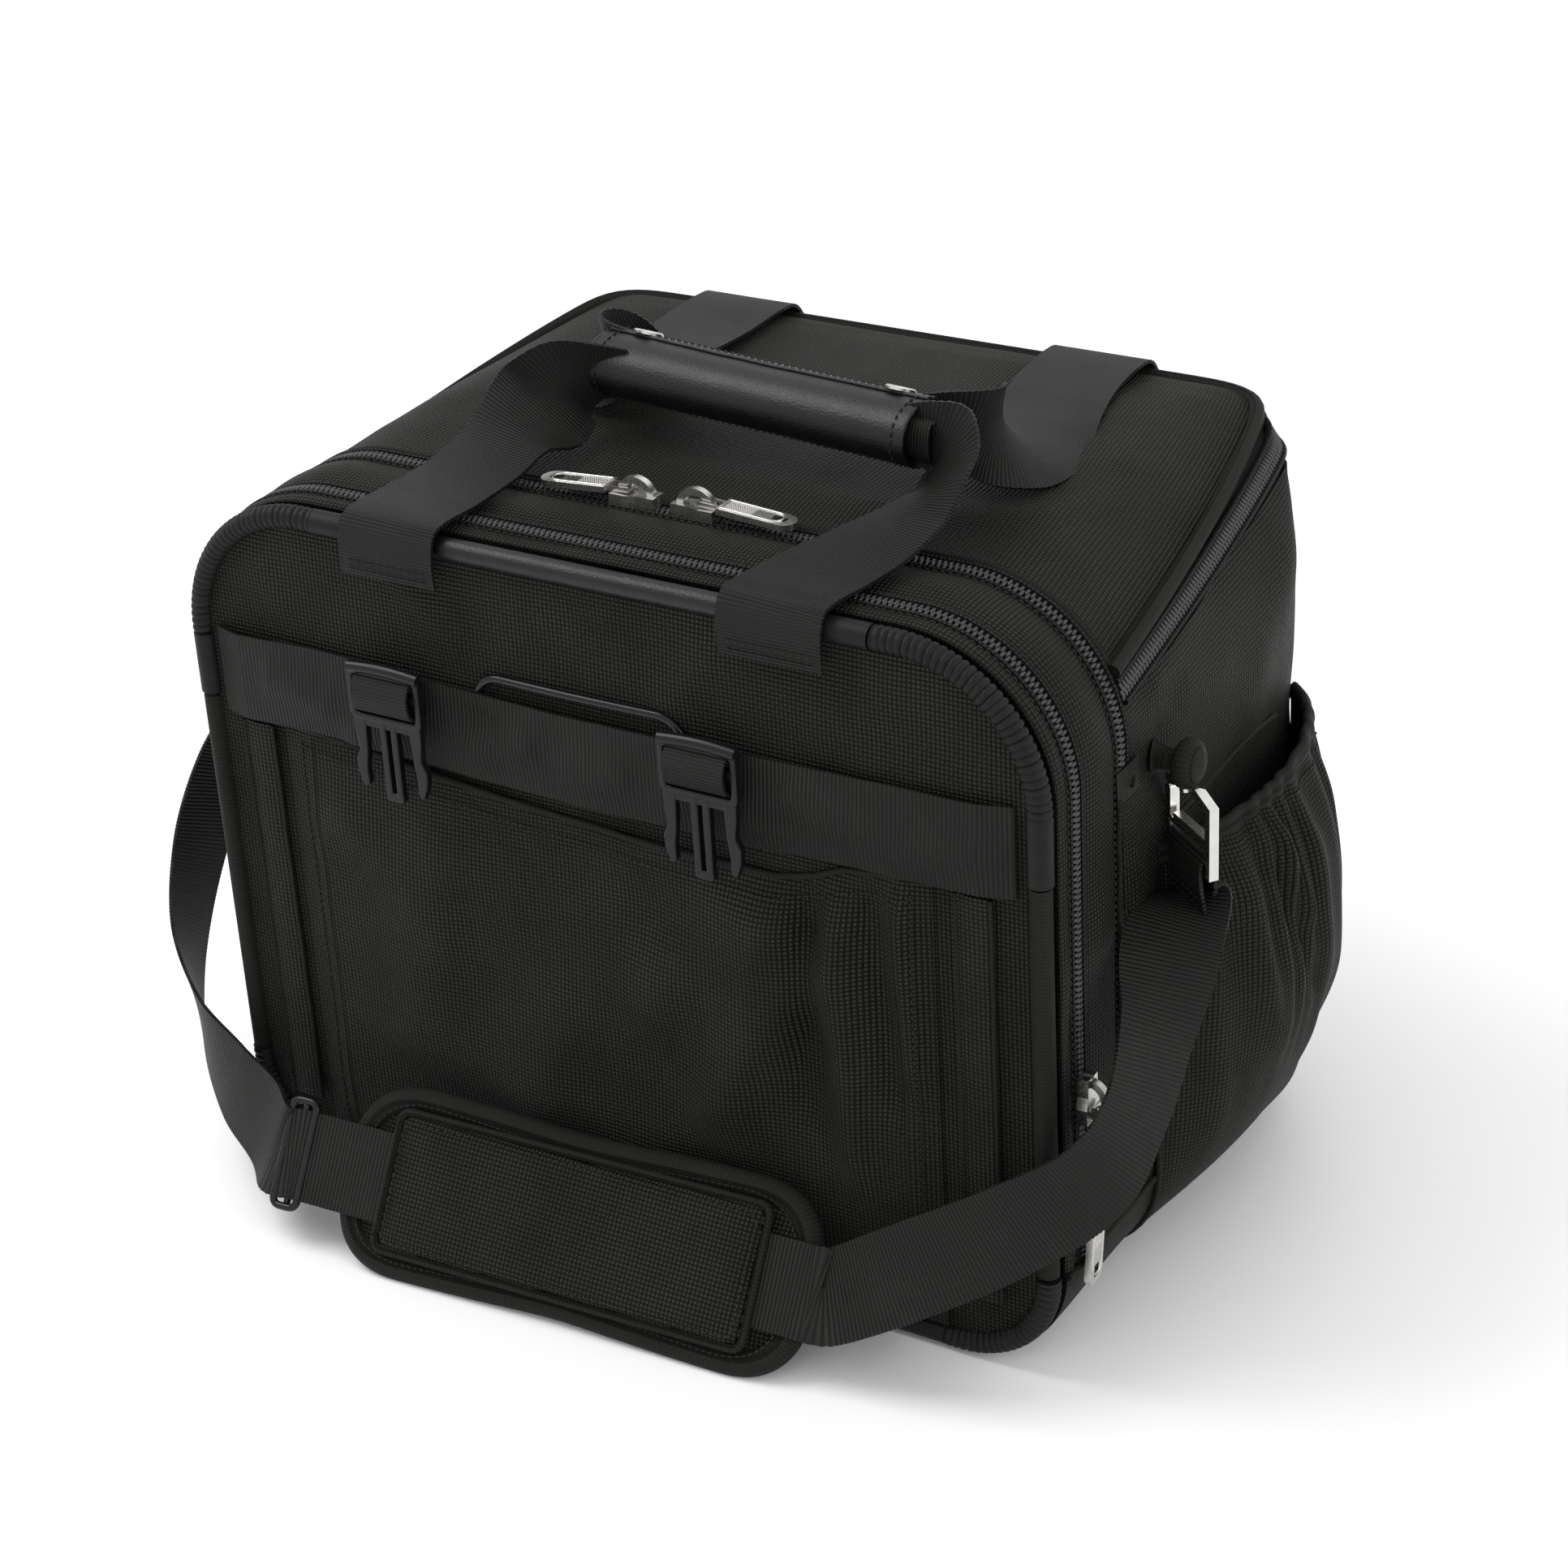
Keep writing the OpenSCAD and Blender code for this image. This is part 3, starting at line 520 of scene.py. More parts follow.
def back_depth(z):
    z = np.asarray(z, float)
    turn = BACK_Y - CROWN + np.sqrt(np.maximum(CROWN**2 - (z - TOP + CROWN) ** 2, 0))
    return np.where(z > TOP - CROWN, turn, BACK_Y)


def lid_edge(y):
    return LID_FRONT + (np.asarray(y, float) - LID_Y) * (LID_BACK - LID_FRONT) / (BACK_Y - LID_Y)


def arch(inset, low, step=3.0, closed=False):
    """Rows of (x, z, normal x, normal z) round the front outline, from low left over the top."""
    side, r, c, cz = HALF_W - inset, SHOULDER - inset, HALF_W - SHOULDER, TOP - SHOULDER
    up = [(-side, z, -1, 0) for z in np.arange(low if not closed else FOOT, cz, step)]
    turn = [
        (-c - r * math.cos(a), cz + r * math.sin(a), -math.cos(a), math.sin(a))
        for a in np.linspace(0, QUARTER, int(100 / step))
    ]
    top = [(x, TOP - inset, 0, 1) for x in np.arange(-c + step, 0.01, step)]
    half = np.array(up + turn + top)
    if closed:
        f, fr = HALF_W - FOOT, FOOT - inset
        floor = [(x, inset, 0, -1) for x in np.arange(0, -f, -step)]
        foot = [
            (-f - fr * math.sin(a), FOOT - fr * math.cos(a), -math.sin(a), -math.cos(a))
            for a in np.linspace(0, QUARTER, int(70 / step))
        ]
        half = np.vstack([floor, foot, half])
    other = half[::-1].copy()
    other[:, [0, 2]] *= -1
    return np.vstack([half, other[1:] if not closed else other[:-1]])


def sweep_y(path, depths, rise=None):
    """Grid of points: an arch path carried through depths, moved out along its normals by rise."""
    p = np.empty((len(path), len(depths), 3))
    out = np.zeros((len(path), len(depths))) if rise is None else rise
    p[..., 0] = path[:, :1] + path[:, 2:3] * out
    p[..., 1] = np.asarray(depths)[None, :]
    p[..., 2] = path[:, 1:2] + path[:, 3:4] * out
    return p


def arch_line(inset, low, step, y):
    """Points and normals of one line round the front outline, at depth y."""
    path = arch(inset, low, step)
    return sweep_y(path, [y])[:, 0], np.stack([path[:, 2], 0 * path[:, 2], path[:, 3]], 1)


def u_path(first_y, step=4.0):
    """Plan of the walls from the front of the right side round the back to the left side."""
    c = BACK_Y - BACK
    side = [(HALF_W, y) for y in np.arange(first_y, c, step)]
    angles = np.linspace(0, QUARTER, 34)
    turn = [(HALF_W - BACK + BACK * math.cos(a), c + BACK * math.sin(a)) for a in angles]
    back = [(x, BACK_Y) for x in np.arange(HALF_W - BACK - step, 0.1, -step)]
    half = np.array(side + turn + back)
    other = half[::-1].copy()
    other[:, 0] *= -1
    return np.vstack([half, other])


def clamp_wall(x, y, z):
    """Wall points held inside the front, plan and side outlines."""
    width = half_width(z)
    return np.stack([np.clip(x, -width, width), np.minimum(y, back_depth(z)), z], -1)


def soften(p, times=2):
    """Rounds the creases of a grid, its borders aside."""
    for _ in range(times):
        q = p.copy()
        near = p[2:, 1:-1] + p[:-2, 1:-1] + p[1:-1, 2:] + p[1:-1, :-2]
        q[1:-1, 1:-1] = 0.5 * p[1:-1, 1:-1] + 0.125 * near
        p = q
    return p


def outward(p, amount):
    """Moves a grid along its normals, away from the bag's middle."""
    n = unit(np.cross(np.gradient(p, axis=0), np.gradient(p, axis=1)))
    middle = np.array([0, 0, 150.0])
    n *= np.sign(((p - middle) * n).sum(-1, keepdims=True))
    return p + n * amount[..., None]


# ---------------------------------------------------------------- camera, light and floor


def set_stage():
    """The camera stands as the photographer did; lengths here are in metres."""
    camera = bpy.data.objects.new("camera", bpy.data.cameras.new("camera"))
    link(camera)
    x = Vector((0.85698, 0.51272, -0.05204))
    y = Vector((-0.20022, 0.42428, 0.88313))
    z = x.cross(y).normalized()
    y = z.cross(x).normalized()
    turn = Matrix((x, y, z)).transposed().to_4x4()
    camera.matrix_world = Matrix.Translation((0.7171, -1.1292, 0.8605)) @ turn
    camera.data.lens = 80.3
    camera.data.sensor_width = 36
    camera.data.clip_start = 0.05
    camera.data.clip_end = 30
    bpy.context.scene.camera = camera
    for name, place, size, power in [
        ("key", (-1.3, -0.5, 2.0), 1.3, 27),
        ("top", (0.2, 1.2, 2.1), 1.6, 3),
        ("side", (2.2, -0.1, 1.2), 1.4, 13),
        ("front", (0.1, -2.6, 1.1), 1.6, 5),
    ]:
        light = bpy.data.objects.new(name, bpy.data.lights.new(name, "AREA"))
        light.data.shape = "SQUARE"
        light.data.size = size
        light.data.energy = power
        light.location = place
        aim = Vector((0, 0, 0.15)) - Vector(place)
        light.rotation_euler = aim.to_track_quat("-Z", "Y").to_euler()
        link(light)
    bpy.context.scene.view_settings.view_transform = "Standard"
    world = bpy.data.worlds.new("world")
    world.use_nodes = True
    sky = world.node_tree.nodes["Background"]
    sky.inputs["Color"].default_value = (1, 1, 1, 1)
    sky.inputs["Strength"].default_value = 0.92
    bpy.context.scene.world = world
    floor = bpy.data.meshes.new("floor")
    reach, level = 24, -0.0003
    corners = [(-reach, -reach), (reach, -reach), (reach, reach), (-reach, reach)]
    floor.from_pydata([(*q, level) for q in corners], [], [(0, 1, 2, 3)])
    floor.materials.append(Nodes("floor", (0.93, 0.93, 0.93), 0.7).material)
    ground = bpy.data.objects.new("floor", floor)
    link(ground)


# ---------------------------------------------------------------- shell


def build_front_panel():
    """A padded sheet that crowns a little between its piping."""
    outline = arch(9, 0, 4, closed=True)
    spokes = np.linspace(0, 1, 46)
    loop = np.vstack([outline, outline[:1]])
    x = loop[:, :1] * spokes
    z = PANEL_MID + (loop[:, 1:2] - PANEL_MID) * spokes
    crown = 1 - spokes[None, :] ** 4
    out = folded(2.2 * crown, x, z, [
        ((-60, 262), (-95, 305), 9, 1.6), ((30, 258), (62, 300), 10, 1.8),
        ((92, 262), (150, 298), 12, 1.4), ((-150, 262), (-165, 296), 9, 1.2),
        ((110, 256), (185, 262), 8, 1.2), ((-20, 262), (0, 304), 14, -1.2),
        ((160, 40), (176, 205), 7, 1.3), ((-172, 40), (-166, 205), 6, 1.2),
    ])
    p = np.stack([x, PANEL_Y - out + ripple(drawn(x, z), 60, 1.0, 3.1) * crown, z], -1)
    uv = np.stack([x, z], -1)
    panel = solid("front_panel_cloth", p, 2.2, NYLON, "bag", ["front_panel"], back=1, uv=uv)


def build_gussets():
    """Strips between the piping and the zippers, with their rows of stitches."""
    for side, y0, y1, swell, columns in [
        ("front", -131.5, -123.3, 1.0, 9),
        ("middle", -112.7, -85.3, 2.4, 22),
    ]:
        path = arch(0.6, 40, 4)
        v = np.linspace(0, 1, columns)
        hump = np.sin(np.pi * v)[None, :]
        rise = swell * hump**0.7 * np.ones((len(path), 1))
        p = sweep_y(path, y0 + (y1 - y0) * v, rise)
        strip = sweep_y(path, y0 + (y1 - y0) * v, rise + ripple(p, 34, 0.9, 7.0) * hump)
        gusset = solid(f"{side}_gusset_cloth", strip, 2.4, NYLON, "bag", [f"{side}_gusset"], back=1)
    for k, y in enumerate([-124.6, -111.6, -86.4]):
        stitches(f"gusset_stitches_{k}", *arch_line(-0.2, 48, 3, y), "bag")


def build_walls():
    """Walls from the middle zipper round the back."""
    plan = u_path(WALL_FRONT)
    levels = np.linspace(0, 1, 74)
    edge = lid_edge(plan[:, 1]) - TAPE_W - 0.4
    z = WALL_FOOT + (edge - WALL_FOOT)[:, None] * levels[None, :]
    x0 = np.broadcast_to(plan[:, :1], z.shape)
    start = WALL_FRONT + 10.2 * np.clip((z - ZIP2_END + 6) / 6, 0, 1)
    y0 = np.maximum(np.broadcast_to(plan[:, 1:], z.shape), start)
    p = soften(clamp_wall(x0, y0, z), 5)
    share = np.clip((z - WALL_FOOT) / (edge[:, None] - WALL_FOOT), 0, 1)
    hollow = np.sin(np.pi * share) ** 0.8
    move = 2.0 * hollow + ripple(p, 70, 3.2, 1.7) * hollow + ripple(p, 26, 0.9, 9.1) * hollow
    move = folded(move, y0, z, [
        ((-60, 262), (18, 288), 9, 2.0), ((-55, 250), (-20, 200), 9, -2.2),
        ((-40, 258), (60, 240), 12, 1.8), ((20, 210), (95, 285), 16, 2.4),
        ((-58, 190), (-66, 60), 8, -1.4),
    ], np.abs(x0) > 150)
    move = folded(move, x0, z, [
        ((-110, 120), (60, 180), 26, 2.4), ((120, 90), (20, 230), 24, -2.2),
        ((-140, 220), (-60, 120), 18, 2.0),
    ], y0 > 120)
    p = outward(p, move * np.clip((y0 - WALL_FRONT) / 14, 0, 1))
    solid("wall_cloth", p, 2.6, NYLON, "bag", ["main_shell"], back=1)


def build_base():
    """The lower walls, turned under."""
    plan = u_path(BASE_FRONT)
    down = np.concatenate([np.linspace(BASE_TOP, 0, 22), np.zeros(14)])
    shrink = np.concatenate([np.ones(22), np.linspace(0.96, 0, 14)])
    one = np.ones((len(plan), len(down)))
    y0, z = plan[:, 1:] * one, one * down
    p = clamp_wall(plan[:, :1] * one, y0, z)
    centre = np.clip(y0, BASE_FRONT, 60)
    p[..., 0] *= shrink
    p[..., 1] = centre + (p[..., 1] - centre) * shrink
    lowest = 0.3
    p[..., 2] = np.maximum(p[..., 2], lowest)
    p = outward(p, (0.6 + ripple(p, 50, 1.2, 4.4)) * np.clip(z / 20, 0, 1))
    p[..., 2] = np.maximum(p[..., 2], lowest)
    solid("base_cloth", p, 2.0, NYLON, "bag", ["base_tray"], back=0)


def build_seams():
    """Where the base meets the walls, and down the sides below the middle zipper."""
    plan = u_path(-131.0)
    row = clamp_wall(plan[:, 0], plan[:, 1], np.full(len(plan), BASE_TOP))
    tube("base_welt", row + unit(row * [1, 1, 0]) * 0.9, 1.5, TWILL, "bag", sides=8)
    for side, s in (("left", -1), ("right", 1)):
        seam = [(s * 200.9, -84 + 0.5 * math.sin(k), 46 + k * 4.0) for k in range(48)]
        tube(f"side_seam_{side}", seam, 1.2, TWILL, "bag", sides=8)
        row = [(s * (201.6 + 0.9 * math.sin(k / 9.0)), -80.6, 50 + k * 5.0) for k in range(37)]
        stitches(f"side_stitches_{side}", row, (s, 0, 0), "bag")
        tab = [(s * 200.6, -86, 239.0), (s * 201.3, -77, 239.5), (s * 201.4, -69, 240)]
        ribbon(f"seam_tape_{side}", [(*q, 0, 0, 1) for q in tab], 14, 1.2, WEB, "bag")


def build_inside():
    """The two inner walls and the board."""
    loop = arch(6, 0, 5, closed=True)
    loop = np.vstack([loop, loop[:1]])
    x, z = loop[:, 0], loop[:, 1]
    share = np.linspace(0, 1, 20)
    for side, y in [("front", -112.8), ("rear", -80)]:
        px, pz = x[:, None] * share, PANEL_MID + (z[:, None] - PANEL_MID) * share
        p = np.stack([px, np.full(px.shape, y), pz], -1)
        name = f"{side}_divider"
        lining = solid(f"{name}_lining", p, 2.0, LINING, "bag", [name], uv=p[..., [0, 2]])
    spots = np.meshgrid(np.linspace(-150, 150, 24), np.linspace(-70, 108, 18), indexing="ij")
    p = np.stack(spots, -1)
    p = np.concatenate([p, 6 + 0.5 * np.sin(p[..., :1] / 40)], -1)
    solid("base_board", p, 2.4, BOARD, "bag", ["bottom_board"])


def build_lid():
    """The lid's cloth: flat over the middle, bent down over the shoulders and the crown."""
    depth = np.concatenate([np.linspace(LID_Y + 2, 118, 52), np.linspace(120, 136, 10)])
    across = np.linspace(-1, 1, 96)
    inner = HALF_W - SHOULDER
    p = np.empty((len(across), len(depth), 3))
    for j, y in enumerate(depth):
        rim = lid_edge(y) + 0.5
        arc = math.sqrt(max(SHOULDER**2 - (rim - TOP + SHOULDER) ** 2, 1))
        reach = min(inner + arc, float(plan_half(y)) - 0.6)
        crown = TOP
        if y >= BACK_Y - CROWN:
            crown += math.sqrt(max(CROWN**2 - (y - BACK_Y + CROWN) ** 2, 0)) - CROWN
        a = np.arcsin(np.clip((reach - HALF_W + SHOULDER) / SHOULDER, -1, 1)) if reach > inner else 0
        flat = min(reach, inner)
        s = across * (flat + SHOULDER * a)
        over = np.clip((np.abs(s) - flat) / SHOULDER, 0, None)
        x = np.sign(s) * (np.minimum(np.abs(s), flat) + SHOULDER * np.sin(over))
        z = np.minimum(TOP - SHOULDER * (1 - np.cos(over)), crown)
        p[:, j] = np.stack([x, np.full_like(x, y), np.maximum(z, rim)], -1)
    p = soften(p, 4)
    far_in = (1 - across**4)[:, None] * np.clip((depth - LID_Y) / 30, 0, 1)
    far_in = far_in * np.clip((BACK_Y - depth) / 30, 0, 1)
    move = 2.4 * far_in + ripple(p, 85, 3.0, 2.2) * far_in + ripple(p, 30, 0.9, 5.2) * far_in
    p[..., 2] += folded(move, p[..., 0], p[..., 1], [
        ((60, -60), (170, -10), 16, 2.4), ((120, -66), (186, 20), 12, -1.6),
        ((-40, 20), (90, 60), 26, 1.6), ((150, 20), (100, 110), 20, 1.6),
        ((-170, -30), (-80, 60), 22, 1.6),
    ], far_in)
    solid("lid_cloth", p, 3.0, NYLON, "lid", ["lid_panel"], back=1)


def lid_rim(drop, out=0.0):
    """The lid's edge from the front right round the back to the front left, some way below its plane."""
    plan = u_path(LID_Y, 3.0)
    z = lid_edge(plan[:, 1]) - drop
    q = clamp_wall(plan[:, 0], plan[:, 1], z)
    q = resample(q, 300)
    for _ in range(24):
        q[1:-1] = 0.5 * q[1:-1] + 0.25 * (q[2:] + q[:-2])
    along = unit(np.gradient(q, axis=0))
    flat = unit(np.cross(along, [0, 0, 1.0]))
    share = flat[:, 0] ** 2
    shoulder = np.clip((q[:, 2] - TOP + SHOULDER) / SHOULDER, 0, 0.96)
    crown = np.clip((q[:, 2] - TOP + CROWN) / CROWN, 0, 0.96)
    lean = (shoulder * share + crown * (1 - share))[:, None]
    normal = unit(flat * np.sqrt(1 - lean**2) + np.array([0, 0, 1.0]) * lean)
    return q + normal * out, normal


def teeth(name, path, normal, body, half=3.3, pitch=2.5):
    """Two interleaved rows of coil along a path."""
    both = resample(np.hstack([path, normal]), int(length_of(path) / pitch))
    point, up = both[:, :3], unit(both[:, 3:])
    along = unit(np.gradient(point, axis=0))
    across = np.cross(up, along)
    hook = [(0, -half, -0.4), (0.1, -half + 0.1, 0.7), (0.2, -half * 0.45, 1.15)]
    verts, faces = pill(hook + [(0.3, 0.2, 0.95), (0.3, 0.55, 0.2)], 0.72, 6)
    other = verts * [1, -1, 1] + [pitch / 2, 0, 0]
    faces = faces + [[i + len(verts) for i in f[::-1]] for f in faces]
    return copies(name, np.vstack([verts, other]), faces, (point, along, across, up), COIL, body)


def zipper(name, path, normal, body, node):
    """Tape, coil and the two rolled edges beside it."""
    along = unit(np.gradient(path, axis=0))
    across = np.cross(normal, along)
    columns = np.linspace(-1, 1, 9) * (TAPE_W / 2 + 0.6)
    p = np.stack([path + across * c - normal * 1.1 for c in columns], 1)
    solid(name + "_tape", p, 1.0, TAPE, body, [node])
    teeth(name + "_coil", path - normal * 0.75, normal, body)
    for k, c in enumerate((-1, 1)):
        fold = path + across * c * (TAPE_W / 2 - 0.5) + normal * 0.1
        tube(f"{name}_fold_{k}", fold, 1.15, NYLON, body, sides=8)


def build_lid_backing():
    """Wide cloth strip behind the lid's zipper, so that no gap shows beside the tape."""
    rows = [lid_rim(drop, -1.6)[0] for drop in (-3.0, 3, 8, 15)]
    p = np.stack(rows, 1)
    strip = solid("lid_zipper_backing", p, 1.0, TAPE, "bag", back=1)


def build_zippers():
    zipper("front_zipper", *arch_line(0.2, 45, 2.5, ZIP1_Y), "bag", "zipper_1")
    zipper("middle_zipper", *arch_line(0.2, ZIP2_END, 2.5, ZIP2_Y), "bag", "zipper_2")
    rim, normal = lid_rim(TAPE_W / 2, 1.0)
    zipper("lid_zipper", rim, normal, "bag", "zipper_3")


def build_lid_binding():
    rim = lid_rim(-2.6, 0.8)[0][::2]
    tube("lid_binding_roll", rim, 3.3, TWILL, "lid", ["lid_binding"], sides=14)
    row = arch_line(0.9, LID_FRONT, 3, LID_Y + 1.6)[0]
    row = row[row[:, 2] > LID_FRONT - 2]  # the corner of the arch starts below the lid
    tube("lid_front_roll", row, 1.9, TWILL, "lid", sides=10)
    row, normal = lid_rim(-6.9, 0.5)
    inner = row[6:-6] - normal[6:-6] * 2.2
    stitches("lid_stitches", inner, normal[6:-6] * 0.6 + np.array([0, 0, 0.8]), "lid")


def build_piping():
    """Rubber at the corners and above, cloth-covered down the sides, smooth over and under."""
    loop = arch(PIPE_R, 0, 0.5, closed=True)
    p = np.stack([loop[:, 0], np.full(len(loop), PIPE_Y), loop[:, 1]], 1)
    high, x = p[:, 2], np.abs(p[:, 0])
    rib = PIPE_R + 0.1 - 0.8 * np.abs(np.sin(math.pi * run_length(p) / 3.1)) ** 7

    def run(name, keep, radius, material, nodes=(), step=1):
        index = np.nonzero(keep)[0]
        breaks = np.nonzero(np.diff(index) > 1)[0] + 1
        groups = np.split(index, breaks)
        if len(groups) > 1 and groups[0][0] == 0 and groups[-1][-1] == len(p) - 1:
            groups[0] = np.concatenate([groups.pop(), groups[0]])
        for k, g in enumerate(groups):
            g = g[::step]
            r = radius[g] if hasattr(radius, "__len__") else radius
            tube(f"{name}_{k}", p[g], r, material, "bag", nodes if k == 0 else (), sides=16)

    corners = ((high > 250) & (x > 128)) | ((high < 47) & (x > 148))
    plain = ((high > 222) & (high <= 250.5)) | ((high > 300) & (x <= 128.5) & (x > 100))
    covered = (high >= 46.5) & (high <= 222.5)
    run("ribbed_tube", corners, rib, RUBBER, ["ribbed_piping"])
    run("plain_tube", plain, PIPE_R + 0.1, RUBBER, ["smooth_piping"], 6)
    run("covered_tube", covered, PIPE_R - 0.5, TWILL, ["covered_piping"], 6)
    run("top_tube", (high > 300) & (x <= 100.5), PIPE_R - 0.3, LEATHER, (), 6)
    run("foot_tube", (high < 20) & (x <= 148.5), PIPE_R - 0.2, RUBBER, (), 6)


# ---------------------------------------------------------------- front trim

FACE_Y = -140.2  # the front panel's outer face
BUCKLE_X, BUCKLE_Y, BUCKLE_Z = {"left": -90.0, "right": 58.0}, -152.5, 249.0


def build_band():
    """Webbing band, loose where the buckles pull it."""
    half, height = 186, 19.2
    x = np.linspace(-half, half, 372)
    high = np.linspace(-1, 1, 17)
    sag = -3.0 * np.exp(-((x - 8) / 80) ** 2) + 1.6 * np.exp(-((x + 128) / 34) ** 2)
    middle = 235.5 + sag
    p = np.empty((len(x), len(high), 3))
    tooth = 0.3 * (np.arange(len(x)) % 2)
    for j, c in enumerate(high):
        p[:, j, 0] = x
        p[:, j, 2] = middle + c * height + (tooth * c if abs(c) == 1 else 0)
    bx, bz = p[..., 0], p[..., 2]
    out = 0.5 * (1 - high[None, :] ** 2)
    out = folded(out, bx, bz, [
        ((-62, 224), (-20, 240), 8, 3.0), ((-60, 246), (-30, 226), 6, -1.2),
        ((-125, 216), (-70, 236), 9, 2.2), ((30, 238), (96, 222), 10, 2.2),
        ((86, 246), (130, 226), 9, 1.8), ((-165, 240), (-118, 228), 10, 1.8),
        ((130, 222), (180, 238), 9, 1.6), ((-20, 222), (24, 232), 9, 1.8),
    ])
    ends = np.clip((half - np.abs(x)) / 14, 0, 1)[:, None]
    wave = np.abs(ripple(drawn(bx, bz), 34, 1.3, 8.8))
    p[..., 1] = -143.6 + 3.6 * (1 - ends) - out * ends - wave * ends
    uv = np.stack([bz, bx], -1)
    solid("front_band_webbing", p, 1.4, WEB, "bag", ["front_band"], back=1, uv=uv)


def build_front_pocket():
    """A loose sheet with a gathered pleat on its right."""
    left, right, low = -155, 151, 11
    top_x = [left, -147, -100, -15, 40, 83, 100, 113, 132, right]
    top_z = [219, 218, 212, 204, 202, 202, 206, 212, 215, 218]
    x = np.linspace(left, right, 150)
    s = np.linspace(0, 1, 90)
    top = np.interp(x, top_x, top_z)
    px = np.broadcast_to(x[:, None], (len(x), len(s)))
    pz = low + (top[:, None] - low) * s[None, :]
    hem = np.clip(np.minimum(x - left, right - x) / 16, 0, 1)[:, None]
    foot = np.clip(s / 0.1, 0, 1)[None, :]
    out = 1.4 + 2.6 * np.sin(np.pi * s[None, :]) ** 0.6 * hem
    out = folded(out, px, pz, [
        ((84, 204), (48, 60), 15, 4.2), ((98, 206), (92, 84), 7, -3.0),
        ((108, 212), (116, 52), 8, 4.0), ((124, 214), (134, 92), 6, -2.4),
        ((138, 216), (144, 110), 6, 2.4), ((70, 196), (10, 110), 16, 2.2),
        ((-60, 40), (40, 175), 26, 3.2), ((-110, 60), (-70, 200), 22, 2.4),
        ((0, 30), (70, 120), 18, 2.6), ((-20, 70), (30, 196), 16, -1.8),
        ((-140, 190), (-60, 120), 14, 1.6), ((110, 180), (60, 100), 9, 1.8),
    ], 1.75)
    out = out + ripple(drawn(px, pz), 44, 2.6, 6.6)
    py = np.minimum(-140.6 - np.maximum(out, 0.2) * np.minimum(hem * 1.3, 1) * foot, FACE_Y)
    p = np.stack([px, py, pz], -1)
    uv = np.stack([px, pz], -1)
    pocket = solid("front_pocket_cloth", p, 1.5, NYLON, "bag", ["front_pocket"], back=1, uv=uv)
    tube("front_pocket_hem", p[2:-2, -1], 1.5, TWILL, "bag", sides=8)
    stitches("front_pocket_hem_stitches", p[3:-3, -5] + [0, -0.4, 0], (0, -1, 0), "bag")
    for k, (column, inward) in enumerate(((4, 3), (-5, -3))):
        row = p[column, 4:-3] + [0, -0.3, 0]
        stitches(f"front_pocket_side_stitches_{k}", row, (0, -1, 0), "bag")
        path = p[column + inward, 3:-2] + [0, 0.5, 0]
        tube(f"front_pocket_side_seam_{k}", path, 1.0, NYLON, "bag", sides=8)


def build_facings():
    """Narrow strips beside the pocket, corded on both edges."""
    for s, a in (("left", -177.0), ("right", 161.0)):
        z = np.linspace(30, 214, 60)
        w = np.linspace(0, 15, 7)
        fx, fz = a + w[None, :] + 0 * z[:, None], z[:, None] + 0 * w[None, :]
        fy = FACE_Y - 0.9 * np.sin(np.pi * w / 15)[None, :] - 0.5
        facing = np.stack([fx, fy + ripple(drawn(fx, fz), 20, 0.5, 3.3), fz], -1)
        cloth = solid(f"facing_{s}", facing, 1.0, NYLON, "bag", uv=np.stack([fx, fz], -1))
        for k, column in enumerate((0, -1)):
            cord = facing[:, column] + [0, -0.4, 0]
            tube(f"facing_{s}_cord_{k}", cord, 0.9, TWILL, "bag", sides=7)


def build_rolls_and_bail():
    """Webbing rolled round each buckle's bar, the buckles, and the bent wire between them."""
    for side, x in BUCKLE_X.items():
        # the roll goes out from the band, round the buckle's bar and back
        turn = [
            (BUCKLE_Y + 0.6 - 5.4 * math.cos(a), 248.2 + 8.4 * math.sin(a))
            for a in np.linspace(-1.9, 1.9, 20)
        ]
        roll = [(-144.2, 237.5), (-148.5, 239.0), *turn, (-148.5, 256.2), (-144.2, 254.5)]
        ribbon(
            f"{side}_buckle_roll", [(x, *q, 1, 0, 0) for q in roll], 27, 1.3, SATIN, "bag",
            [f"buckle_loop_{side}"], columns=15, picot=0.3)
        build_buckle(side, x)
    left, right, y, foot, bend, r = -53.5, 44.5, -141.0, 226, 248.5, 12
    path = [(left, y, foot), (left, y, bend)]
    path += [
        (left + r - r * math.cos(a), y, bend + r * math.sin(a))
        for a in np.linspace(0.08, QUARTER, 12)
    ]
    path += [
        (q, y - 0.7 * math.sin((q + 41.5) / 74 * math.pi), bend + r)
        for q in np.linspace(-36, 27, 14)
    ]
    path += [
        (right - r + r * math.sin(a), y, bend + r * math.cos(a))
        for a in np.linspace(0, QUARTER - 0.08, 12)
    ]
    path += [(right, y, bend), (right, y, foot)]
    tube("bail_wire", path, 1.75, WIRE, "bail", ["wire_bail"], sides=16)


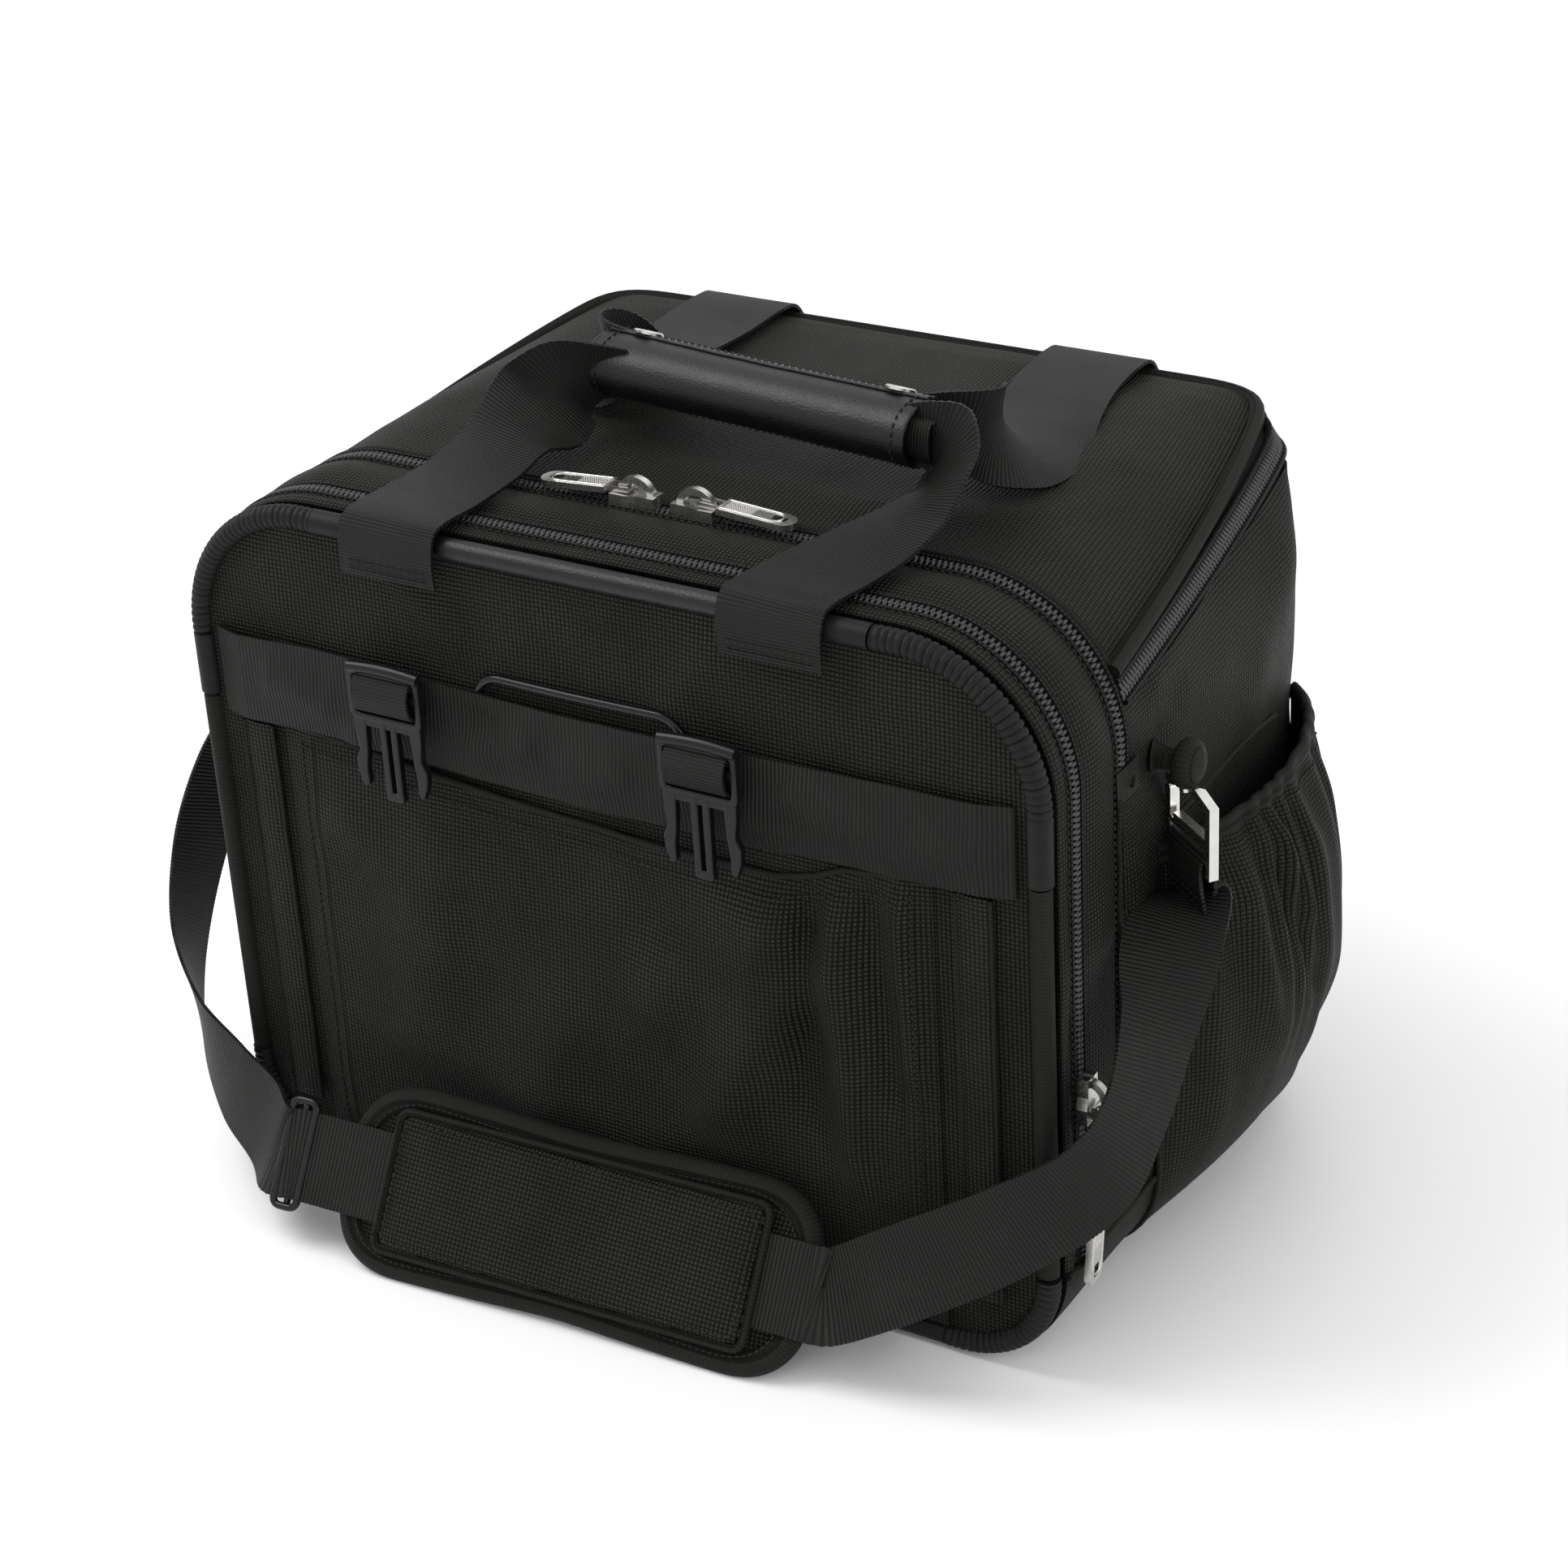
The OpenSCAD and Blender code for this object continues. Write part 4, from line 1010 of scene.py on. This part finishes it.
def build_buckle(side, x):
    """Male half of a side-release buckle, drawn from its turning bar."""

    def front(points):
        return np.stack([points[:, 0] + x, BUCKLE_Y - points[:, 2], points[:, 1] + BUCKLE_Z], 1)

    def part(name, outlines, thick, bevel=0.6, nodes=()):
        plate(f"{body}_{name}", outlines, thick, bevel, front, PLASTIC, body, nodes)

    body = f"{side}_buckle"
    outer = rounded_box(-17.5, 17.5, 9, -13, [2, 2, 3, 3])
    inner = rounded_box(-14.8, 14.8, 7.2, -10, 1.2)
    part("frame", [outer, inner], 4.4, 0.7, [f"buckle_{side}"])
    high = [(q, 9.2 + 1.1 * math.cos(q / 17.5 * QUARTER)) for q in np.linspace(-17.2, 17.2, 16)]
    bar = [(x + q, BUCKLE_Y - 0.3, BUCKLE_Z + z) for q, z in high]
    tube(f"{body}_top_bar", bar, 2.6, PLASTIC, body, sides=14)
    bar = [(x + q, BUCKLE_Y, BUCKLE_Z) for q in np.linspace(-16, 16, 6)]
    tube(f"{body}_turning_bar", bar, 2.3, PLASTIC, body, sides=12)
    arm = [
        (10.5, -11), (16.5, -11), (16.2, -20), (15.2, -27), (17.6, -32), (17.2, -38),
        (14.8, -44.5), (12.4, -43), (12.6, -36), (11.4, -28), (11.0, -18),
    ]
    rib = [(1.1, -11), (4.4, -11), (4.1, -46), (1.1, -46)]
    for k, s in enumerate((-1, 1)):
        for name, shape, radius in (("arm", arm, 1.0), ("rib", rib, 0.5)):
            mirrored = [(q[0] * s, q[1]) for q in shape][::s]
            part(f"{name}_{k}", [rounded(mirrored, radius)], 3.6)
    foot = rounded([(-4.4, -44.5), (4.4, -44.5), (4.0, -48.6), (-4.0, -48.6)], 1.2)
    part("rib_foot", [foot], 3.4)
    part("shoulder", [rounded([(-15, -10.5), (15, -10.5), (12, -16), (-12, -16)], 1.2)], 3.0)


# ---------------------------------------------------------------- side pockets


def build_side_pockets():
    """A gathered pocket on each side: a tall arc in section, full in the middle of its width."""
    reach, half, belly, top_z, foot_z = 39.0, 74.0, 118.0, 194.0, 6.0
    drop = reach + 12
    face_r = ((belly - 5) ** 2 + drop**2) / (2 * drop)
    for side, s in (("right", 1), ("left", -1)):
        u = np.linspace(-1, 1, 190)
        v = np.linspace(0, 1, 84)
        y = 22 + (half + 2) * u
        top = top_z + np.interp(u, [-1, -0.6, 0, 0.6, 1], [2, 0, 0, 2, 3])
        z = foot_z + (top[:, None] - foot_z) * v[None, :]
        face = np.sqrt(np.maximum(face_r**2 - (z - belly) ** 2, 0)) - (face_r - reach)
        full = np.clip(face + 6, 0, reach + 6) / (reach + 6)
        swell = np.cos(np.pi / 2 * np.clip(np.abs(u), 0, 1) ** 1.35) ** 0.85
        wall = np.minimum(half_width(np.maximum(z, 2)), plan_half(y)[:, None])
        x = wall + 1.4 + (reach - 4) * swell[:, None] * full**1.15
        yy = np.broadcast_to(y[:, None], x.shape).copy()
        inside = swell[:, None] ** 0.8
        # gathers fall from the elastic edge and fade out below
        v = v[None, :]
        fade = 1 - 0.72 * np.clip((v - 0.85) / 0.15, 0, 1) ** 2
        depth = np.clip((v - 0.3) / 0.55, 0, 1) ** 1.3 * fade
        phase = u[:, None] * 34 + 2.2 * np.sin(u[:, None] * 7 + 1) + 1.4 * v
        gather = 1.9 * np.sin(phase) * depth * inside * np.clip(1.15 - 0.25 * u[:, None], 0.5, 1.2)
        move = gather + ripple(np.stack([x * s, yy, z], -1), 40, 2.8, 3.0 + s) * inside
        move = folded(move, yy, z, [
            ((-24, 184), (0, 70), 7, 3.4), ((-8, 186), (26, 96), 6, -2.8),
            ((6, 188), (22, 130), 5, 2.6), ((40, 188), (30, 40), 10, 2.6),
            ((66, 190), (62, 70), 7, 2.2), ((-36, 170), (-30, 40), 6, 2.0),
            ((20, 120), (70, 30), 12, -2.2),
        ], inside)
        p = np.stack([x + move * np.clip(v * 8, 0, 1), yy, z], -1)
        flat_uv = grid_uv(p)
        p[..., 0] *= s
        name = f"side_pocket_{side}"
        cloth = solid(f"{name}_cloth", p, 1.4, NYLON, "bag", [name], uv=flat_uv)
        squash = ((s, 0, 0), 0.55)
        node = f"pocket_binding_{side}"
        tube(f"{name}_binding", p[1:-1, -1], 4.6, TWILL, "bag", [node], flat=squash)
        stitches(f"{name}_stitches", p[3:-3, -4] + [s * 0.9, 0, 0], (s, 0, 0), "bag")
        tube(f"{name}_foot_seam", p[::3, 1], 1.4, TWILL, "bag", sides=8)
        for k, column in enumerate((1, -2)):
            tube(f"{name}_edge_seam_{k}", p[column, ::2], 1.3, TWILL, "bag", sides=8)
        yoke = [(s * 202.2, q, 206 + 1.6 * math.sin(q / 17)) for q in np.linspace(-50, 58, 40)]
        tube(f"{name}_yoke_seam", yoke, 1.3, TWILL, "bag", sides=8)


# ---------------------------------------------------------------- handles and grip

GRIP = np.array([16.0, -27.0, 347.0])
GRIP_TURN = math.radians(-6)
GRIP_HALF, GRIP_RY, GRIP_RZ = 79.0, 17.0, 13.0


def grip_point(along, depth, height):
    c, s = math.cos(GRIP_TURN), math.sin(GRIP_TURN)
    return (GRIP[0] + along * c - depth * s, GRIP[1] + along * s + depth * c, GRIP[2] + height)


# Stations of an arm: x, y, z, the way across it, and its share of the full width.
ARM_ROOTS = {  # for the right side; x is mirrored for the left
    "front": [(88, -145.0, 296), (88, -145.4, 308), (88, -142.5, 317.5)],
    "rear": [(88, 143.8, 200), (88, 143.8, 240), (88, 143.8, 280), (88, 143.5, 303), (88, 136, 317.5)],
}
ARMS = {
    ("front", "left"): [
        (-87.5, -134, 320.5, 1, 0, 0), (-86, -112, 320.6, 1, 0.03, 0),
        (-84, -88, 322.5, 1, 0.1, 0.05), (-80, -66, 330, 0.96, 0.25, 0.12),
        (-74, -50, 338, 0.85, 0.35, -0.35), (-69, -41, 345, 0.42, 0.35, -0.85, 0.86),
        (-60, -33, 348, 0.12, 0.3, -0.95, 0.62), (-46, -28, 348, 0, 0.2, -1, 0.48)],
    ("front", "right"): [
        (89, -134, 320.5, 1, 0, 0), (93, -112, 320.8, 1, -0.04, 0),
        (100, -90, 323, 0.98, -0.1, 0.1), (108, -70, 329, 0.9, 0.0, 0.35),
        (113, -54, 338, 0.62, 0.2, 0.72), (110, -44, 346, 0.2, 0.3, 0.93, 0.88),
        (102, -41, 349, -0.15, 0.2, 0.96, 0.64), (88, -39, 348, -0.1, 0.1, 1, 0.48)],
    ("rear", "left"): [
        (-87.5, 122, 321.0, 1, 0, 0), (-86, 90, 321.5, 1, 0, 0),
        (-84, 54, 323, 1, 0, 0.1), (-81, 24, 328, 0.9, -0.1, 0.35),
        (-76, 2, 338, 0.55, -0.3, 0.78), (-69, -10, 345, 0.2, -0.2, 0.95, 0.84),
        (-60, -15, 348, 0, 0, 1, 0.62), (-46, -15, 348, 0, 0, 1, 0.48)],
    ("rear", "right"): [
        (88.5, 122, 321.0, 1, 0, 0), (92, 90, 321.5, 1, 0.05, 0),
        (100, 56, 321.5, 0.98, 0.12, -0.05), (110, 26, 324, 0.92, 0.2, -0.3),
        (115, 2, 333, 0.6, 0.2, -0.76), (112, -14, 343, 0.2, 0.2, -0.95, 0.86),
        (103, -22, 348, 0, 0.1, -1, 0.62), (88, -26, 348, 0, 0, -1, 0.48)],
}
ARM_NODES = {  # CAD nodes that the left arms stand for
    "front": ["front_arms", "handle_anchors", "front_grip_core"],
    "rear": ["rear_arms", "rear_grip_core"],
}
# Where each pair bends between bag and handle, and the depth, heights and normal of its bar tacks.
ARM_TACKS = {"front": (-146.2, (298.5, 302.0), -1), "rear": (145.0, (203.0, 232.0), 1)}


def build_handles():
    for (end, side), free in ARMS.items():
        s = -1 if side == "left" else 1
        stations = [(s * x, y, z, 1, 0, 0) for x, y, z in ARM_ROOTS[end]] + free
        name = f"{end}_{side}"
        arm = ribbon(f"handle_{name}", stations, 45, 1.5, SATIN, columns=13, picot=0.3, step=1.1)
        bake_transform(arm)
        if side == "left":
            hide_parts(*ARM_NODES[end])
        depth, levels, facing = ARM_TACKS[end]
        for k, z in enumerate(levels):
            row = [(s * 88 + q, depth, z) for q in np.linspace(-19, 19, 9)]
            stitches(f"anchor_{name}_{k}", row, (0, facing, 0), "bag")
    # folded webbing inside the grip
    for body, shift in (("front_handle", -6.0), ("rear_handle", 6.0)):
        turns = np.linspace(0.2, 2 * math.pi - 0.2, 22)
        rows = [
            [
                grip_point(t, shift + 3.6 * math.sin(a), 8.4 * math.cos(a) + 0.6 * math.sin(t / 9))
                for a in turns
            ]
            for t in np.linspace(-GRIP_HALF - 9, GRIP_HALF + 9, 40)
        ]
        solid(f"{body}_fold", rows, 1.3, SATIN, body)


def build_grip():
    """Leather sleeve in two leaves: the fixed one in front, the opening one behind and over the top."""

    def leaf(a0, a1, grow, columns):
        rows = []
        for t in np.linspace(-GRIP_HALF, GRIP_HALF, 64):
            share = t / GRIP_HALF
            pinch = 1 - 0.035 * math.cos(share * QUARTER) + 0.02 * abs(share) ** 6
            row = []
            for a in np.linspace(a0, a1, columns):
                y = -(GRIP_RY - 1.6 + grow) * math.sin(a) * pinch
                z = -(GRIP_RZ - 0.2 + grow) * math.cos(a) * pinch * (1 + 0.04 * math.sin(a) ** 2)
                row.append(grip_point(t, y, z))
            rows.append(row)
        p = np.array(rows)
        return p + ripple(p, 16, 0.35, 12.0)[..., None] * np.array([0, 0.6, 0.6])

    def outside(p):
        middle = np.array([grip_point(t, 0, 0) for t in np.linspace(-GRIP_HALF, GRIP_HALF, p.shape[0])])
        return unit(p - middle[:, None, :])

    wrap = leaf(0.0, math.radians(206), -0.6, 44)
    cover = leaf(math.radians(-1), math.radians(-166), 0.6, 40)
    solid("grip_leather", wrap, 1.5, LEATHER, "front_handle", ["grip_wrap"])
    solid("grip_cover", cover, 1.5, LEATHER, "flap", ["grip_flap"])
    seams = {
        "left": np.s_[2, 3:-2], "right": np.s_[-3, 3:-2],
        "edge": np.s_[3:-3, -3], "low": np.s_[3:-3, 5],
    }
    for name, p, body in (("grip_leather", wrap, "front_handle"), ("grip_cover", cover, "flap")):
        n = outside(p)
        for seam, at in seams.items():
            stitches(f"{name}_seam_{seam}", p[at] + n[at] * 0.9, n[at], body)
        tube(f"{name}_edge", p[:, -1], 0.85, LEATHER, body, sides=8)
        for end, k in (("left", 0), ("right", -1)):
            tube(f"{name}_end_{end}", p[k, 1:-1], 0.95, LEATHER, body, sides=8)
    # snaps: a dished cap with a rolled rim
    profile = ((0.0, 1.0), (2.2, 0.95), (3.6, 0.75), (4.4, 1.15), (5.2, 1.2), (5.8, 0.7), (5.9, -0.3))
    for k, t in enumerate((-GRIP_HALF + 16, GRIP_HALF - 16)):
        ring = []
        for r, h in profile:
            turn = [(r * math.cos(a), r * math.sin(a)) for a in np.linspace(0, 2 * math.pi, 29)]
            level = GRIP_RZ - 0.7 + h
            ring.append([grip_point(t + x, 8 + y, level - 0.47 * y) for x, y in turn])
        solid(f"snap_{k}", ring, 0.5, NICKEL, "flap", ["snap_caps"])


# ---------------------------------------------------------------- shoulder strap

PAD_X, PAD_Y, PAD_YAW, PAD_LEAN = -2.0, -194.0, math.radians(3), math.radians(33.5)
PAD_L, PAD_W, PAD_T = 222.0, 74.0, 9.0


def pad_place(q):
    """From the pad's own drawing, along x, thick in -y and wide in z, to the row frame."""
    q = np.asarray(q, float)
    y = q[..., 1] * math.cos(PAD_LEAN) + q[..., 2] * math.sin(PAD_LEAN)
    z = -q[..., 1] * math.sin(PAD_LEAN) + q[..., 2] * math.cos(PAD_LEAN)
    c, s = math.cos(PAD_YAW), math.sin(PAD_YAW)
    return np.stack([PAD_X + q[..., 0] * c - y * s, PAD_Y + q[..., 0] * s + y * c, z], -1)


def pad_turn(q):
    """A direction of the pad's drawing in the shared frame."""
    return pad_place(q) - pad_place((0, 0, 0.0))


def on_pad(outline, depth):
    """An outline (x, height) on the pad, at one depth of its drawing."""
    return pad_place(np.stack([outline[:, 0], np.full(len(outline), depth), outline[:, 1]], 1))


def pillow(length, width, radius, thick, front, low, power, rings=12, sides=120):
    """A closed padded plate: two crowned faces meeting at a round outline."""
    outline = rounded_box(-length / 2, length / 2, low, low + width, radius * 1.25, 14)
    outline = even_loop(outline, sides)
    centre = np.array([0, low + width / 2])
    points, faces = [], []
    shares = np.sin(np.linspace(0, math.pi / 2, rings))
    for face, part in ((1, shares[1:]), (-1, shares[-2:0:-1])):
        for s in part:
            q = centre + (outline - centre) * s
            y = front + thick / 2 - face * thick / 2 * (1 - s**power)
            points.append(np.stack([q[:, 0], np.full(len(q), y), q[:, 1]], 1))
    count = len(points)
    for k in range(count - 1):
        a, b = k * sides, (k + 1) * sides
        faces += [[a + j, b + j, b + (j + 1) % sides, a + (j + 1) % sides] for j in range(sides)]
    faces += [list(range(sides)), [(count - 1) * sides + j for j in range(sides)][::-1]]
    return np.vstack(points), faces


def inflate(obj, pressure, cap, voxel):
    """Cloth simulation: the piece swells, no point further than cap, and keeps the result."""
    remesh = obj.modifiers.new("remesh", "REMESH")
    remesh.mode = "VOXEL"
    remesh.voxel_size = voxel * MM
    settle(obj)
    rest = np.array([v.co for v in obj.data.vertices])
    cloth = obj.modifiers.new("cloth", "CLOTH")
    setting = cloth.settings
    setting.quality = 6
    setting.use_pressure = True
    setting.uniform_pressure_force = pressure
    setting.effector_weights.gravity = 0
    setting.mass = 0.3
    setting.tension_stiffness = 20
    setting.bending_stiffness = 3
    scene = bpy.context.scene
    for frame_number in range(1, 21):
        scene.frame_set(frame_number)
    settle(obj)
    scene.frame_set(1)
    moved = np.array([v.co for v in obj.data.vertices])
    step = moved - rest
    size = np.linalg.norm(step, axis=1, keepdims=True)
    moved = rest + step * np.minimum(1, cap * MM / np.maximum(size, 1e-9))
    obj.data.vertices.foreach_set("co", moved.ravel())
    subdivide = obj.modifiers.new("subdivide", "SUBSURF")
    subdivide.levels = subdivide.render_levels = 1
    settle(obj)
    obj.data.polygons.foreach_set("use_smooth", [True] * len(obj.data.polygons))


def settle(obj):
    """Makes an object's modifiers part of its mesh."""
    mesh = evaluated(obj)
    old = obj.data
    obj.modifiers.clear()
    obj.data = mesh
    bpy.data.meshes.remove(old)


def map_pad(obj):
    """Weave coordinates in the plane of the pad."""
    mesh = obj.data
    layer = mesh.uv_layers.get("run") or mesh.uv_layers.new(name="run")
    co = np.array([v.co for v in mesh.vertices]) / MM - [PAD_X, PAD_Y, 0]
    up = co[:, 1] * math.sin(PAD_LEAN) + co[:, 2] * math.cos(PAD_LEAN)
    index = np.empty(len(mesh.loops), int)
    mesh.loops.foreach_get("vertex_index", index)
    layer.data.foreach_set("uv", (np.stack([co[:, 0], up], 1)[index] * MM).ravel())


def stuffed(name, shape, node, fill, **swell):
    """A pillow of the pad, inflated; fill is not used."""
    points, faces = pillow(*shape)
    obj = make(name, pad_place(points), faces, NYLON, None, [node])
    inflate(obj, **swell)
    map_pad(obj)
    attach(obj, "pad")


def build_pad():
    shape = (PAD_L - 5, PAD_W - 5, 23, PAD_T - 1.5, -PAD_T + 0.8, 2.5, 14.0)
    stuffed("pad_foam", shape, "pad_base", 0.7, pressure=4.0, cap=1.6, voxel=2.2)
    loop = even_loop(rounded_box(-PAD_L / 2, PAD_L / 2, 0, PAD_W, 30, 16), 420)
    centre = np.array([0, PAD_W / 2])
    far = np.linalg.norm(loop - centre, axis=1, keepdims=True)
    rim = on_pad(centre + (loop - centre) * (1 - 4.2 / far), -PAD_T / 2 - 0.2)
    normal = pad_turn((0, -1.0, 0))
    tube("pad_binding", rim, 5.6, TWILL, "pad", closed=True, flat=(normal, 0.92), sides=16)
    row = on_pad(centre + (loop - centre) * (1 - 8.6 / far), -PAD_T - 0.9)
    stitches("pad_binding_stitches", row, normal, "pad", pitch=3.0)

    # sleeve panel over the webbing
    shape = (PAD_L - 46, PAD_W - 15, 5, 5.0, -PAD_T - 5.0, 7.5, 16.0)
    stuffed("pad_sleeve_cloth", shape, "pad_sleeve", 0.5, pressure=3.0, cap=0.8, voxel=1.6)
    half, low, high = (PAD_L - 46) / 2, 7.5, 66.5
    edge = even_loop(rounded_box(-half, half, low, high, 5, 5), 239)
    hem = on_pad(edge, -PAD_T - 2.4)
    tube("pad_sleeve_hem", hem, 1.8, TWILL, "pad", closed=True, sides=10)
    inset = 4.0
    row = edge * [1 - inset / half, 1]
    row[:, 1] = PAD_W / 2 + (row[:, 1] - PAD_W / 2) * (1 - inset / 30)
    stitches("pad_sleeve_stitches_0", on_pad(row, -PAD_T - 5.3), normal, "pad")


HOOK_X, HOOK_Y, HOOK_Z = 217.0, -54.0, 238.0
HOOK_TURN = math.radians(-36.87)


def hook_point(u, w, depth=0.0, s=1):
    """A point of the hook's own drawing: u across, w up from the eye, depth out of its plane."""
    c, n = math.cos(HOOK_TURN), math.sin(HOOK_TURN)
    return (s * (HOOK_X + u * c + depth * n), HOOK_Y + u * n - depth * c, HOOK_Z + w)


# Stations of the webbing between the pad and the hooks: x, y, z and the way across.
STRAP_WAY = {
    "right": [
        (149, -169, 55, -0.15, 0.35, 0.92), (187, -159, 79, -0.3, 0.05, 0.95),
        (219, -145, 104, -0.4, -0.35, 0.82), (227, -124, 126, -0.32, -0.65, 0.68),
        (226, -102, 154, -0.5, -0.6, 0.58), (221.5, -80, 177, -0.84, 0.0, 0.3)],
    "left": [
        (-166, -176, 38, 0.1, 0.4, 0.9), (-192, -163, 42, 0.2, 0.2, 0.95),
        (-222, -145, 53, 0.2, -0.2, 0.95), (-245, -122, 78, 0.1, -0.5, 0.8),
        (-253, -98, 112, 0, -0.7, 0.7), (-246, -80, 148, -0.1, -0.8, 0.5),
        (-229, -66, 176, -0.4, -0.8, 0.2)],
}
# The end folded over the hook's eye: height, depth and share of the width.
STRAP_FOLD = (
    (-53, -1.3, 0.84), (-42, -2.6, 0.76), (-36.2, -2.0, 0.72), (-32.6, 0.0, 0.72),
    (-35.5, 3.2, 0.72), (-43, 3.6, 0.74), (-56, 2.2, 0.8),
)
WEB_Y = -PAD_T - 1.3


def build_webbing(side, s):
    up = pad_turn((0, 0, 1.0))
    along = [(s * x, WEB_Y) for x in (70, 100, 112)]
    if side == "left":
        along += [(-133, WEB_Y), (-146, WEB_Y + 0.5)]
    first = [(*pad_place((x, y, 37.0)), *up) for x, y in along]
    if side == "right":
        first.append((119, -174, 37, *up))
    across = (-0.8, 0.6 * s, 0)
    end = [(*hook_point(0, w, depth, s), *across, share) for w, depth, share in STRAP_FOLD]
    nodes = [f"strap_{side}"] + (["strap_front"] if s > 0 else [])
    stations = first + STRAP_WAY[side] + end
    ribbon(f"strap_{side}_webbing", stations, 38, 1.5, WEB, "strap", nodes, columns=11)
    normal = np.array(hook_point(0, 0, 1, s)) - np.array(hook_point(0, 0, 0, s))
    for k, w in enumerate((-50.0, -53.5)):
        middle = np.array(hook_point(0, w, 4.2 - 0.25 * k, s))
        line = [middle + np.array(across) * q for q in np.linspace(-13, 13, 9)]
        stitches(f"strap_{side}_bar_{k}", line, normal, "strap")


def build_strap():
    for side, s in (("right", 1), ("left", -1)):
        build_webbing(side, s)

    # sliding bar at the pad's left end: a bent wire frame
    wire = on_pad(even_loop(rounded_box(-142, -130, 14, 60, 4, 6), 120), WEB_Y - 0.2)
    tube("adjuster_frame", wire, 1.7, WIRE, "strap", ["strap_adjuster"], closed=True)
    bar = on_pad(np.stack([np.full(9, -136.0), np.linspace(15, 59, 9)], 1), WEB_Y + 1.8)
    tube("adjuster_bar", bar, 1.5, WIRE, "strap", sides=12)

    stem_radii = [6.6, 5.6, 4.8, 4.5] + [4.4] * 5 + [4.3]
    head = ((217.2, 5.6), (217.5, 7.2), (218.2, 7.7), (219.2, 7.4), (220.2, 5.2), (220.7, 1.5))
    for side, s in (("right", 1), ("left", -1)):
        # the tab on the bag, its head, and the rolled webbing round the hook's eye
        name, y, z = f"strap_tab_{side}", -52, 238
        reach = np.linspace(199.5, 216.8, 10)
        stem = [(s * q, y + 0.5 * math.sin(q), z + (q - 209) * -0.05) for q in reach]
        tube(name, stem, stem_radii, TWILL, "bag", [f"strap_stud_{side}"], sides=18)
        cap = [(s * q, y, z) for q, _ in head]
        tube(f"{name}_head", cap, [r for _, r in head], TWILL, "bag", sides=22)
        turn = np.linspace(0, 2 * math.pi, 49)[:-1]
        ring = [(s * 214.6, y + 7.3 * math.cos(a), z + 7.3 * math.sin(a)) for a in turn]
        radii = 2.75 + 0.12 * np.abs(np.sin(np.arange(48) * 0.9))
        squash = ((1, 0, 0), 1.42)
        name = f"hook_eye_wrap_{side}"
        tube(name, ring, radii, TWILL, "strap", closed=True, flat=squash, sides=16)


# ---------------------------------------------------------------- metal


def build_pull(name, body, place, tab_from):
    """Raised rim and knurled field on one face of a pull."""
    length, half = 27.5, 4.0
    far = tab_from + length - half
    turn = np.linspace(0.2, math.pi - 0.2, 10)
    outline = [(tab_from + 1.2, -half), (far, -half)]
    outline += [(far + half * math.sin(a), -half * math.cos(a)) for a in turn]
    outline += [(far, half), (tab_from + 1.2, half)]
    line = even_loop(outline, 89)
    rim = place(np.hstack([line, np.full((len(line), 1), 1.35)]))
    tube(f"{name}_rim", rim, 0.5, NICKEL, body, closed=True, sides=8)
    studs, faces = [], []
    pyramid = np.array([(-0.5, 0, 0), (0, -0.36, 0), (0.5, 0, 0), (0, 0.36, 0), (0, 0, 0.3)])
    for i in range(12):
        for j in range(9):
            base = 5 * len(studs)
            spot = [tab_from + 2.4 + i * 1.05 + (j % 2) * 0.52, -3.0 + j * 0.75, 1.28]
            studs.append(pyramid + spot)
            faces += [[base + q, base + (q + 1) % 4, base + 4] for q in range(4)]
    make(f"{name}_knurl", place(np.vstack(studs)), faces, NICKEL, body, sharp=10)


def build_metal():
    """Nickel and rounded edges for the CAD hardware, and a worked face for each pull."""
    for name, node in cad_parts.items():
        if not name.startswith(("slider_", "pull_", "hook_", "gate_")):
            continue
        node.data.materials.clear()
        node.data.materials.append(NICKEL)
        bevel = node.modifiers.new("round", "BEVEL")
        bevel.width = 0.45 * MM
        bevel.segments = 3
        bevel.limit_method = "ANGLE"
        bevel.angle_limit = math.radians(35)
        bevel.harden_normals = False
    tilt = {"1_upper": -15.0, "1_lower": 4.0, "2_left": 4.0, "2_right": 4.0}
    for key, lean in tilt.items():
        a = math.radians(lean)

        def local(q, a=a, key=key):
            x = 2.8 + q[:, 0] * math.cos(a) + q[:, 2] * math.sin(a)
            z = 6.6 - q[:, 0] * math.sin(a) + q[:, 2] * math.cos(a)
            if key.startswith("2"):
                d = 1 if key.endswith("right") else -1
                middle = 17 if d > 0 else -11
                return np.stack([middle + d * x, ZIP2_Y + d * q[:, 1], 316.7 + z], 1)
            level = 122 if key.endswith("upper") else 80
            return np.stack([200.7 + z, ZIP1_Y + q[:, 1], level - x], 1)

        build_pull(f"pull_{key}", f"pull_{key}_body", local, 9.1)
    # the rear pulls hang from axes 28.3 mm out along the crown
    axis_angle = math.radians(14)
    back_y, back_z = 122 + 28.3 * math.cos(axis_angle), 298 + 28.3 * math.sin(axis_angle)
    for key, x in (("3_left", -18.0), ("3_right", 12.0)):

        def hang(q, x=x):
            return np.stack([x + q[:, 1], back_y + q[:, 2], back_z - 6.8 - q[:, 0]], 1)

        build_pull(f"pull_{key}", f"pull_{key}_body", hang, 0.0)


set_stage()
for build in (
    build_front_panel, build_gussets, build_walls, build_base, build_seams, build_inside,
    build_lid, build_zippers, build_lid_backing, build_lid_binding, build_piping,
    build_band, build_front_pocket, build_facings, build_rolls_and_bail, build_side_pockets,
    build_handles, build_grip, build_pad, build_strap, build_metal,
):
    build()
